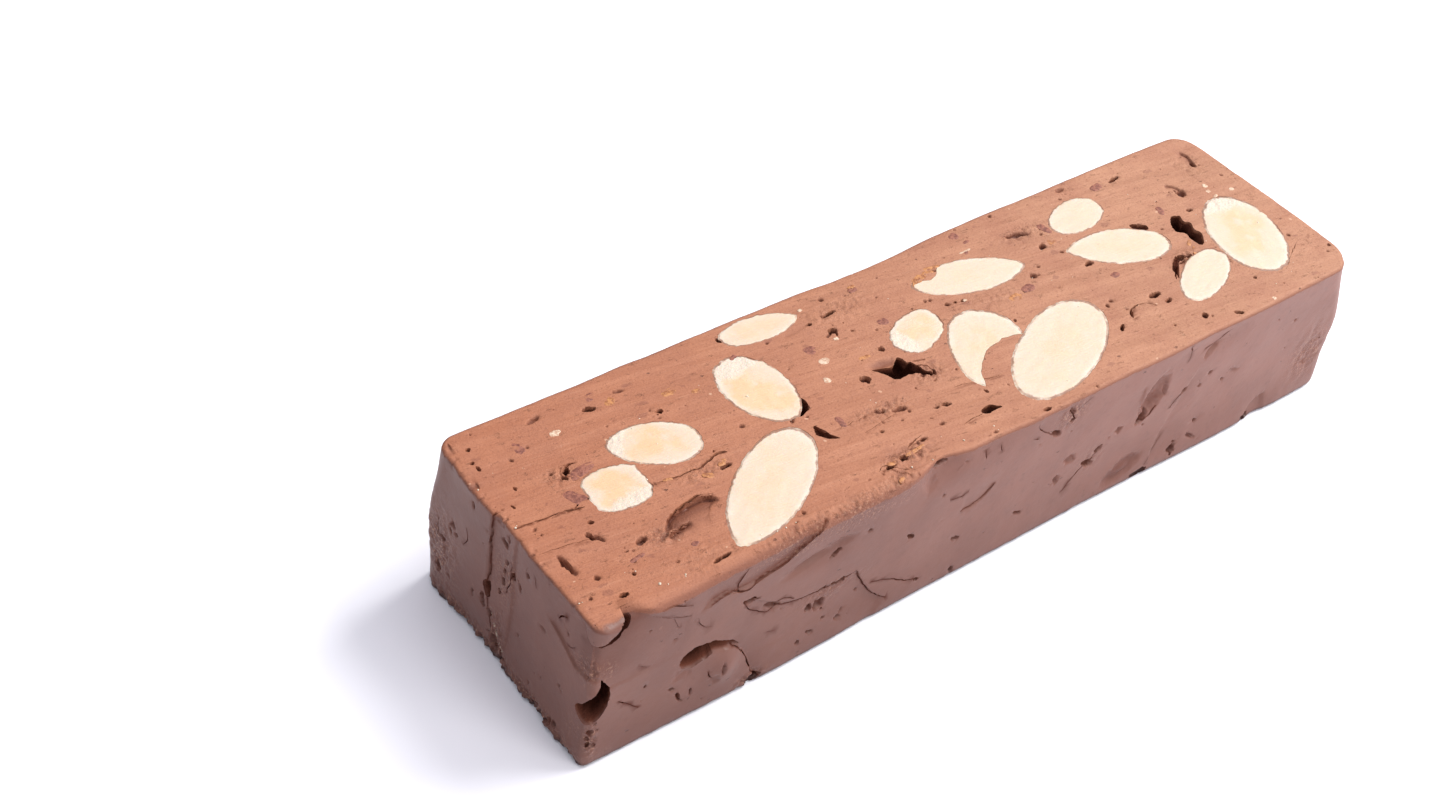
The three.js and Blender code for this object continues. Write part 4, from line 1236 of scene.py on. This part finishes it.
FLECK_SIDES = 28
FLECK_DEEP = 0.5
FLECK_PROUD = 0.015
# The rings of a fleck: how wide each is, as a share of its outline, and how far down.
FLECK_RINGS = ((0.5, 0.0), (0.9, 0.0), (1.0, 0.03), (0.6, FLECK_DEEP))


def fleck(seed, along, across, long, wide, turn):
    """The points and faces of one inclusion, as thin as a flake."""
    ragged = 0.22 * min(long, wide)
    shape = dict(at=(along, across), long=long, wide=wide, turn=turn, ragged=ragged, square=0.1)
    rim = section_rim(shape, seed, FLECK_SIDES)
    rings = []
    for share, down in FLECK_RINGS:
        flat = set_in_bar(shape, rim * share)
        rings.append(raised(flat, top_over(flat) + FLECK_PROUD - down))
    middle = set_in_bar(shape, np.zeros((1, 2)))[0]
    height = top_height(along, across) + FLECK_PROUD
    return body_mesh("fleck", rings, (*middle, height), (*middle, height - FLECK_DEEP))


def joined(name, meshes):
    bm = bmesh.new()
    for mesh in meshes:
        bm.from_mesh(mesh)
        bpy.data.meshes.remove(mesh)
    whole = bpy.data.meshes.new(name)
    bm.to_mesh(whole)
    bm.free()
    return link(whole)


def crumb_cloud(seed, count, size, where):
    """Crumbs of that mean size at places drawn by where(rng), half sunk in the surface."""
    rng = np.random.default_rng(seed)
    unit, triangles = ball(2)
    meshes = []
    for i in range(count):
        long = size * rng.lognormal(0, 0.35)
        half = long * np.array([1, rng.uniform(0.6, 1), rng.uniform(0.5, 0.8)]) / 2
        lumps = 1 + 0.3 * Noise(600)(unit + 3.0 * i, 0.7)
        turn = np.array(Matrix.Rotation(rng.uniform(0, 6.3), 3, Vector(rng.normal(size=3))))
        p = (unit * half * lumps[:, None]) @ turn.T + where(rng)
        meshes.append(new_mesh("crumb", p, triangles))
    return meshes


# Where the crumbs gather, along the edges that they lie at.
FOOT_HEAPS = [2, 7.5, 12, 18.5, 20.5, 22.5, 28, 36]
LEFT_HEAPS = [4.8, 21.6, 30]
FRONT_HEAPS = [6, 15, 29, 33, 57, 70]
LEFT_SHARE = 0.3  # of the crumbs at the top's edges, those at the left one
# The left end's fold: how high and how far across its foot lies, and its slope.
FOLD_FOOT = 3.0
FOLD_FOOT_ACROSS = 20.6
FOLD_SLOPE = 0.62


def on_left_foot(rng):
    across = rng.choice(FOOT_HEAPS) + rng.normal(0, 1.4)
    point = on_face("left", np.clip(across, 0.5, 39.0), rng.uniform(0.5, 1.7))[0]
    return point + (rng.uniform(0.45, 0.7), 0, 0)


def on_left_fold(rng):
    up = rng.uniform(FOLD_FOOT, 9.0)
    across = FOLD_FOOT_ACROSS + FOLD_SLOPE * (up - FOLD_FOOT) + rng.normal(0, 0.5)
    return on_face("left", across, up)[0] + (0.3, 0, 0)


def on_top_edges(rng):
    if rng.random() < LEFT_SHARE:
        return on_face("top", rng.uniform(0.3, 1.0), rng.choice(LEFT_HEAPS) + rng.normal(0, 0.8))[0]
    return on_face("top", rng.choice(FRONT_HEAPS) + rng.normal(0, 2.2), rng.uniform(0.3, 2.2))[0]


def anywhere_on_top(rng):
    return on_face("top", rng.uniform(2, LENGTH - 6), rng.uniform(2, WIDTH - 2))[0] - (0, 0, 0.05)


# ---- The nougat ----
COARSE_STEP = 0.8


def below_faces(points):
    """How far under the bar's faces each point of a hole lies, in mm."""
    coarse, quads = marked_bar(COARSE_STEP)
    tree = BVHTree.FromPolygons(coarse.tolist(), quads.tolist())
    depth = np.zeros(len(points))
    for i, point in enumerate(points):
        where, normal, _, distance = tree.find_nearest(point)
        depth[i] = distance if (Vector(point) - where).dot(normal) < 0 else 0.0
    return depth


LIP_DROP = 1.5  # the light cut colour reaches this far down the front's rounded edge
LIP_DROP_RIGHT = 0.75
FLAP_DROP = 0.1
FLAP_RANGE = (5, 10)  # the flap at the near corner ends between these places along the bar
EDGE_DROP = 0.3  # and this far down the other edges
CUT_SKIN = 0.8  # and this deep into a hole in the top


def cut_colour(points):
    """For each point, how far it lies above the line where the light cut colour ends,
    in mm, and how near that line is, from 0 on the flat top to 1."""
    along, across = points[:, 0] + LENGTH / 2, points[:, 1] + WIDTH / 2
    lip = lerp(LIP_DROP, LIP_DROP_RIGHT, smooth(along, LIP_TO - 2, LIP_TO + 8))
    lip = lerp(FLAP_DROP, lip, smooth(along, *FLAP_RANGE))
    front = 1 - smooth(across, 1.0, 2.6)
    other = np.minimum(np.minimum(WIDTH - across, along), LENGTH - END_LEAN - along)
    edge = 1 - smooth(other, 0.6, 1.6)
    drop = CUT_SKIN + (EDGE_DROP - CUT_SKIN) * edge
    drop = lerp(drop, lip, front)
    above = points[:, 2] - (top_height(along, across) - drop)
    return {"cut": above, "lip": 1 - smooth(above / drop, 0.5, 1.03)}


PORE_DARK_FROM = 0.7  # a steep pit this deep or deeper gets full painted shade inside
CRACK_DARK_FROM = 0.5
CRUMBLY_FROM = 0.3
LAP_SHADE = 0.3  # painted shade for each mm that a lap is pressed in
SHADE_REACH = 4.0  # a face's marks paint shade on what lies less than this far behind it


def mark_shade(points):
    """How much painted shade the pits, cracks and laps give each point, and how crumbly it is, from 0 to
    1.
    """
    shade, crumbly = np.zeros(len(points)), np.zeros(len(points))
    for face in FACES:
        here = np.flatnonzero(face_distance(face, points) < SHADE_REACH)
        near_face = points[here]
        s, t = face_places(face, near_face)
        wobble = pit_wobble(face, near_face)
        value = np.zeros(len(here))
        for pit in all_pits(face):
            near, share = pit_share(s, t, pit, wobble)
            strength = min(1, pit[5] / PORE_DARK_FROM) * (1 - pit[6]) ** 1.5
            value[near] = np.maximum(value[near], strength * share)
        for lap in LAPS[face]:
            near, deep = lap_depth(s, t, lap)
            value[near] = np.maximum(value[near], LAP_SHADE * deep)
        for crack in CRACKS[face]:
            near, distance, _, _ = path_distance(s, t, crack_rows(crack)[0], 0.5)
            strength = min(1, crack[2] / CRACK_DARK_FROM)
            share = 1 - smooth(distance, 0.0, 0.1 + 0.2 * crack[1])
            value[near] = np.maximum(value[near], strength * share)
        shade[here] = np.maximum(shade[here], value)
        for patch in PATCHES[face]:
            share = patch_share(s, t, patch) * min(1, patch[4] / CRUMBLY_FROM)
            crumbly[here] = np.maximum(crumbly[here], share)
    return {"shade": shade, "crumbly": crumbly}


def nougat_piece():
    points, quads = marked_bar(STEP)
    obj = link(quad_mesh("cut_nougat", points, quads))
    cutters = [hole_mesh(i, *hole) for i, hole in enumerate(HOLES)]
    cutters += [trough_mesh(FLAP_TROUGH), *hollow_meshes()]
    cutters += [crack_mesh(f"crack_{face}_{i}", face, crack)
                for face, cracks in CRACKS.items() for i, crack in enumerate(cracks)]
    cutters += [pocket_mesh(i, almond) for i, almond in enumerate(ALMONDS, 1)]
    obj = cut(obj, cutters)
    triangles = sum(len(p.vertices) - 2 for p in obj.data.polygons)
    modifier = obj.modifiers.new("fewer", "DECIMATE")
    modifier.ratio = min(1.0, NOUGAT_TRIANGLES / triangles)
    modifier.use_collapse_triangulate = True
    obj = applied(obj)
    final = mesh_points(obj.data)
    write_attributes(obj.data, {"hollow": below_faces(final), **cut_colour(final), **mark_shade(final)})
    return obj


# ---- Materials ----
class Finish:
    """A node material, built a node at a time. Its coordinates are millimetres."""

    def __init__(self, name):
        self.material = bpy.data.materials.new(name)
        self.material.use_nodes = True
        self.tree = self.material.node_tree
        self.mm = self.scaled(self.node("TexCoord").outputs["Object"], (1 / MM,) * 3)
        turn = self.node("VectorRotate", {"rotation_type": "Z_AXIS"},
                         Vector=self.mm, Angle=math.radians(-STREAK_TURN))
        self.drawn = turn.outputs["Vector"]
        split = self.node("SeparateXYZ", Vector=self.mm)
        self.along, self.up = split.outputs["X"], split.outputs["Z"]

    def feed(self, socket, value):
        if isinstance(value, bpy.types.NodeSocket):
            self.tree.links.new(value, socket)
        else:
            socket.default_value = value

    def feed_named(self, node, inputs):
        for name, value in inputs.items():
            self.feed(node.inputs[name.replace("_", " ")], value)

    def node(self, kind, settings=None, **inputs):
        """A node of that kind. Its settings come first, as they can change its inputs."""
        node = self.tree.nodes.new("ShaderNode" + kind)
        for name, value in (settings or {}).items():
            setattr(node, name, value)
        self.feed_named(node, inputs)
        return node

    def operate(self, kind, operation, values):
        """A Math or VectorMath node, with its inputs in their order."""
        node = self.node(kind, {"operation": operation})
        for socket, value in zip(node.inputs, values):
            self.feed(socket, value)
        return node.outputs[0]

    def math(self, operation, a, b):
        return self.operate("Math", operation, (a, b))

    def plus(self, a, b):
        return self.math("ADD", a, b)

    def minus(self, a, b):
        return self.math("SUBTRACT", a, b)

    def times(self, a, b):
        return self.math("MULTIPLY", a, b)

    def scaled(self, vector, factors):
        return self.operate("VectorMath", "MULTIPLY", (vector, factors))

    def noise(self, size, detail=3.0, stretch=(1, 1, 1), roughness=0.55, at=None):
        """Noise from 0 to 1 whose lumps are size mm across, drawn out by stretch."""
        lumps = self.scaled(at or self.mm, [1 / (size * part) for part in stretch])
        node = self.node("TexNoise", Vector=lumps, Scale=1.0, Detail=detail, Roughness=roughness)
        return node.outputs["Fac"]

    def shaken(self, size, amount):
        """The coordinates along the knife's way, pushed about by up to that many mm."""
        node = self.node("TexNoise", Vector=self.scaled(self.mm, (1 / size,) * 3), Scale=1.0)
        push = (node.outputs["Color"], (amount,) * 3, self.drawn)
        return self.operate("VectorMath", "MULTIPLY_ADD", push)

    def specks(self, spacing, radius, share, stretch=(1, 1, 1)):
        """1 in scattered ragged specks of about that radius in mm, in that share of cells."""
        ragged = self.shaken(1.6 * radius, 1.8 * radius)
        squeezed = self.scaled(ragged, [1 / (spacing * part) for part in stretch])
        cells = self.node("TexVoronoi", Vector=squeezed, Scale=1.0).outputs
        draws = self.node("SeparateColor", Color=cells["Color"]).outputs
        there = self.math("LESS_THAN", draws[0], share)
        size = self.plus(self.times(draws[1], radius / spacing), 0.35 * radius / spacing)
        inside = self.ramp(self.math("DIVIDE", cells["Distance"], size), 1.0, 0.6)
        return self.times(inside, there)

    def ramp(self, value, low, high):
        """0 at low and 1 at high, smoothly."""
        start, end = (0.0, 1.0) if low < high else (1.0, 0.0)
        node = self.node("MapRange", {"interpolation_type": "SMOOTHSTEP"}, Value=value,
                         From_Min=min(low, high), From_Max=max(low, high), To_Min=start, To_Max=end)
        return node.outputs["Result"]

    def mix(self, share, a, b):
        node = self.node("Mix", {"data_type": "RGBA"}, Factor=share, A=a, B=b)
        return node.outputs["Result"]

    def layered(self, base, *layers):
        """The base with colours over it, each at most in its share and where its mask is 1."""
        for mask, share, tint in layers:
            base = self.mix(self.times(mask, share), base, colour(*tint))
        return base

    def attribute(self, name):
        return self.node("Attribute", {"attribute_name": name}).outputs["Fac"]

    def bump(self, height, depth_mm):
        return self.node("Bump", Height=height, Distance=depth_mm * MM).outputs["Normal"]

    def out(self, **inputs):
        self.feed_named(self.tree.nodes["Principled BSDF"], inputs)
        return self.material


def colour(red, green, blue):
    """An sRGB colour, 0 to 255, as the linear one that a shader takes."""
    def linear(value):
        value /= 255
        return value / 12.92 if value <= 0.04045 else ((value + 0.055) / 1.055) ** 2.4
    return (linear(red), linear(green), linear(blue), 1.0)


def cut_nougat_colour(f):
    """The light, streaky brown of the knife's cut, with painted light making it paler towards the right
    end.
    """
    streaks = f.noise(0.42, 5, (12, 1, 6), 0.7, f.drawn)
    wide = f.ramp(f.noise(2.2, 3, (14, 1, 4), 0.55, f.drawn), 0.3, 0.75)
    near = f.mix(wide, colour(160, 99, 69), colour(171, 111, 81))
    far = f.mix(wide, colour(164, 114, 86), colour(177, 126, 97))
    return f.layered(
        # painted light: paler towards the right end, where the sheen and the key light brighten the top
        f.mix(f.ramp(f.along, -78, 60), near, far),
        (f.ramp(f.noise(8.0, 4), 0.4, 0.75), 0.45, (152, 96, 72)),
        (f.ramp(streaks, 0.52, 0.76), 0.38, (132, 78, 56)),
        (f.ramp(streaks, 0.46, 0.26), 0.28, (190, 138, 110)),
        (f.ramp(f.noise(1.7, 5, roughness=0.65), 0.5, 0.75), 0.3, (140, 86, 64)),
        (f.ramp(f.noise(0.4, 5, roughness=0.7), 0.52, 0.68), 0.5, (126, 72, 51)),
        (f.specks(2.3, 0.5, 0.35, (1.8, 1, 1)), 0.42, (118, 67, 51)),
        (f.specks(2.6, 0.26, 0.35), 0.6, (206, 166, 138)),
    )


def pressed_nougat_colour(f):
    """The darker, greyer brown of the pressed sides, with painted light making them lighter towards the
    right end and painted shade making them darker towards the foot.
    """
    lumps = f.ramp(f.noise(6.0, 4), 0.3, 0.7)
    near = f.mix(lumps, colour(104, 62, 49), colour(112, 69, 55))
    far = f.mix(lumps, colour(123, 78, 64), colour(131, 85, 71))
    return f.layered(
        # painted light: lighter towards the right end, where the sides get more light
        f.mix(f.ramp(f.along, -74, 50), near, far),
        (f.ramp(f.noise(1.3, 4), 0.5, 0.8), 0.3, (94, 54, 41)),
        # painted shade: darker towards the foot
        (f.ramp(f.up, 15, 0), 0.25, (80, 48, 41)),
        (f.specks(1.5, 0.22, 0.3, (1.9, 1, 1)), 0.3, (82, 46, 36)),
        (f.specks(3.4, 0.3, 0.25), 0.35, (140, 98, 82)),
    )


def nougat_relief(f, cut_face, crumbly, hollow, pores):
    """Knife drag on the cut face, lumps on the sides, and rough crumbs in the holes."""
    drag = f.noise(0.3, 5, (34, 1, 5), 0.7, f.drawn)
    grain = f.noise(0.35, 4)
    scuffs = f.ramp(f.noise(0.9, 5, (2.4, 1, 1), 0.7, f.drawn), 0.6, 0.7)
    rough_floor = f.times(f.plus(crumbly, f.ramp(hollow, 0.2, 0.8)), grain)
    top = f.plus(f.times(drag, 0.8), f.times(grain, 0.6))
    top = f.minus(top, f.times(scuffs, 0.6))
    side = f.plus(f.times(f.noise(2.4, 4), 0.6), f.times(grain, 0.12))
    relief = f.plus(f.times(top, cut_face), f.times(side, f.minus(1.0, cut_face)))
    relief = f.minus(relief, f.times(pores, 1.2))
    return f.plus(relief, f.times(rough_floor, 1.5))


def nougat_material():
    f = Finish("chocolate_nougat")
    hollow, crumbly, shade = (f.attribute(name) for name in ("hollow", "crumbly", "shade"))
    edge = f.times(f.minus(f.noise(1.4, 4), 0.5), 0.8)
    cut_face = f.ramp(f.plus(f.attribute("cut"), edge), -0.12, 0.22)
    pores = f.specks(1.7, 0.16, 0.35, (1.9, 1, 1))
    light = f.layered(cut_nougat_colour(f), (f.attribute("lip"), 0.85, (121, 71, 51)))
    base = f.layered(
        f.mix(cut_face, pressed_nougat_colour(f), light),
        (f.times(f.ramp(f.noise(0.4, 4), 0.54, 0.66), crumbly), 0.5, (196, 150, 122)),
        (f.times(f.ramp(f.noise(0.55, 4), 0.5, 0.38), crumbly), 0.5, (104, 58, 42)),
        # painted shade: darker the deeper a point lies in a hole, cave, trough, pocket or crack
        (f.ramp(hollow, 0.2, 0.9), 0.6, (84, 46, 35)),
        (f.ramp(hollow, 0.7, 2.0), 0.9, (44, 20, 14)),
        # painted shade in the pits and cracks and under the laps
        (shade, 0.85, (72, 31, 20)),
        # painted shade: the pores are dark dots as well as dents in the bump
        (pores, 0.6, (84, 44, 32)),
        # painted contact shadow along the foot, darker towards the floor
        (f.ramp(f.up, 1.2, 0.45), 0.8, (54, 33, 33)),
    )
    relief = nougat_relief(f, cut_face, crumbly, hollow, pores)
    roughness = f.plus(f.times(cut_face, 0.16), 0.42)
    roughness = f.plus(roughness, f.times(f.noise(3.0, 3), 0.1))
    roughness = f.plus(roughness, f.times(f.ramp(hollow, 0.1, 0.7), 0.35))
    dull = f.math("MAXIMUM", shade, f.ramp(hollow, 0.1, 0.6))
    gloss = f.times(f.minus(1.0, dull), 0.45)
    return f.out(Base_Color=base, Roughness=roughness, Normal=f.bump(relief, 0.13),
                 Specular_IOR_Level=gloss)


def almond_material():
    """Ivory, yellower in the middle, with a pale frayed border and a thin brown skin."""
    f = Finish("sliced_almond")
    chip = f.attribute("chip")
    rim = f.plus(f.attribute("rim"), f.times(f.minus(f.noise(0.5, 3), 0.5), 0.05))
    warm = f.times(f.attribute("warm"), f.ramp(f.noise(3.0, 4), 0.25, 0.55))
    base = f.layered(
        f.mix(f.ramp(warm, 0.0, 0.8), colour(203, 184, 163), colour(207, 175, 138)),
        (f.ramp(f.noise(2.2, 4), 0.45, 0.75), 0.4, (208, 188, 162)),
        (f.ramp(f.noise(0.7, 5), 0.5, 0.8), 0.3, (200, 168, 130)),
        (f.times(f.ramp(rim, 0.76, 0.94), f.ramp(f.noise(3.2, 5), 0.42, 0.6)), 0.5, (211, 198, 184)),
        (chip, 0.8, (208, 194, 178)),
        (f.times(f.ramp(rim, 0.94, 0.965), f.ramp(f.noise(2.6, 4), 0.3, 0.55)), 0.85, (128, 80, 56)),
    )
    chips = f.times(f.noise(0.5, 5), f.plus(chip, 0.25))
    grain = f.plus(chips, f.times(f.noise(0.25, 3, (8, 1, 1), 0.6, f.drawn), 0.35))
    return f.out(Base_Color=base, Roughness=0.55, Normal=f.bump(grain, 0.15),
                 Subsurface_Weight=0.12, Subsurface_Scale=0.8 * MM)


def plain_material(name, dull, bright, lump, roughness=0.6):
    """Two colours in lumps of that size."""
    f = Finish(name)
    base = f.mix(f.ramp(f.noise(lump, 3), 0.35, 0.65), colour(*dull), colour(*bright))
    return f.out(Base_Color=base, Roughness=roughness, Normal=f.bump(f.noise(0.3, 3), 0.1))


# ---- Stage ----
# The camera: where it stands, which way it looks and how far it is rolled. Its lens
# is given by its focal length in pixels of the picture's 1440-pixel width.
CAMERA_AT = (-185.34, -149.46, 224.41)
CAMERA_AZIMUTH = 43.446
CAMERA_DOWN = 42.688
CAMERA_ROLL = 8.929
PICTURE_WIDTH = 1440
FOCAL_PIXELS = 2038.2


def add_camera():
    data = bpy.data.cameras.new("camera")
    data.sensor_width = 36
    data.lens = data.sensor_width * FOCAL_PIXELS / PICTURE_WIDTH
    data.clip_start = 0.01
    camera = add_object("camera", data)
    faced = rotation(-CAMERA_AZIMUTH, "Z")
    tipped = rotation(90 - CAMERA_DOWN, "X")
    rolled = rotation(CAMERA_ROLL, "Z")
    camera.matrix_world = Matrix.Translation(Vector(CAMERA_AT) * MM) @ faced @ tipped @ rolled
    bpy.context.scene.camera = camera


# A light is its name, its place in metres, its size across, its watts and its tint.
LIGHTS = (
    ("key", (1.0, -0.1, 1.1), 0.95, 27, (1.0, 0.99, 0.97)),
    ("overhead", (-0.1, 0.1, 1.2), 1.3, 4.5, (0.97, 0.96, 1.0)),
    ("fill", (0.24, -0.75, 0.45), 0.5, 3.6, (1.0, 0.98, 0.97)),
)
SKY = (0.91, 0.91, 1.0, 1)
SKY_STRENGTH = 0.52
PAPER = (0.92, 0.92, 0.97, 1)
PAPER_ROUGHNESS = 0.9
FLOOR_HALF = 1500


def add_light(name, at, size, watts, tint):
    data = bpy.data.lights.new(name, "AREA")
    data.shape = "DISK"
    data.size = size
    data.energy = watts
    data.color = tint
    light = add_object(name, data)
    light.location = at
    light.rotation_euler = (-Vector(at)).to_track_quat("-Z", "Y").to_euler()


def add_floor():
    signs = ((-1, -1), (1, -1), (1, 1), (-1, 1))
    corners = [(x * FLOOR_HALF, y * FLOOR_HALF, 0) for x, y in signs]
    floor = link(new_mesh("floor", corners, [(0, 1, 2, 3)]))
    white = bpy.data.materials.new("white_paper")
    white.use_nodes = True
    shader = white.node_tree.nodes["Principled BSDF"]
    shader.inputs["Base Color"].default_value = PAPER
    shader.inputs["Roughness"].default_value = PAPER_ROUGHNESS
    floor.data.materials.append(white)


def add_stage():
    add_floor()
    world = bpy.data.worlds.new("studio")
    world.use_nodes = True
    world.node_tree.nodes["Background"].inputs["Color"].default_value = SKY
    world.node_tree.nodes["Background"].inputs["Strength"].default_value = SKY_STRENGTH
    bpy.context.scene.world = world
    for light in LIGHTS:
        add_light(*light)
    view = bpy.context.scene.view_settings
    view.view_transform = "Standard"
    view.look = "None"


# ---- The pieces ----
# Flecks: their piece's name, their places, the seed of their outlines, their slot, and
# their material with its two colours, size of lumps and roughness.
FLECKS = (
    ("skin_flecks", SKINS, 20, "nougat", ("nut_skin", (108, 56, 42), (148, 90, 70), 0.5)),
    ("caramel_flecks", CARAMELS, 50, "nougat", ("caramel", (140, 82, 46), (186, 126, 76), 0.6, 0.5)),
    ("ivory_flecks", IVORIES, 80, "almond", ("pale_fleck", (176, 138, 112), (214, 190, 166), 0.4)),
)
# Crumbs: their piece's name, their clouds, each with its seed, number, mean size in mm
# and place, their slot, and their material as above.
CRUMBS = (
    ("nut_crumbs", ((2, 20, 0.26, on_top_edges), (3, 70, 0.2, anywhere_on_top)), "almond",
     ("nut_crumb", (196, 178, 156), (224, 212, 194), 0.4)),
    ("fold_crumbs", ((1, 34, 0.5, on_left_fold),), "almond",
     ("dusty_crumb", (122, 96, 84), (176, 154, 136), 0.4)),
    ("nougat_crumbs", ((4, 40, 0.55, on_left_foot),), "nougat",
     ("nougat_crumb", (96, 62, 52), (116, 78, 68), 0.5)),
)
SHARP_ANGLE = math.radians(55)


def finish_piece(obj, material, node=None):
    obj.data.materials.clear()
    obj.data.materials.append(material)
    obj.data.shade_smooth()
    obj.data.set_sharp_from_angle(angle=SHARP_ANGLE)
    if node:
        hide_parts(node)
    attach(obj, "root")


def build():
    finish_piece(nougat_piece(), nougat_material(), "nougat")
    ivory = almond_material()
    for number, almond in enumerate(ALMONDS, 1):
        finish_piece(almond_piece(number, almond), ivory, f"almond_{number:02d}")
    for name, table, seed, slot, look in FLECKS:
        obj = joined(name, [fleck(i, *row) for i, row in enumerate(table, seed)])
        finish_piece(obj, plain_material(*look))
    for name, clouds, slot, look in CRUMBS:
        obj = joined(name, [crumb for cloud in clouds for crumb in crumb_cloud(*cloud)])
        finish_piece(obj, plain_material(*look))
    add_camera()
    add_stage()


build()
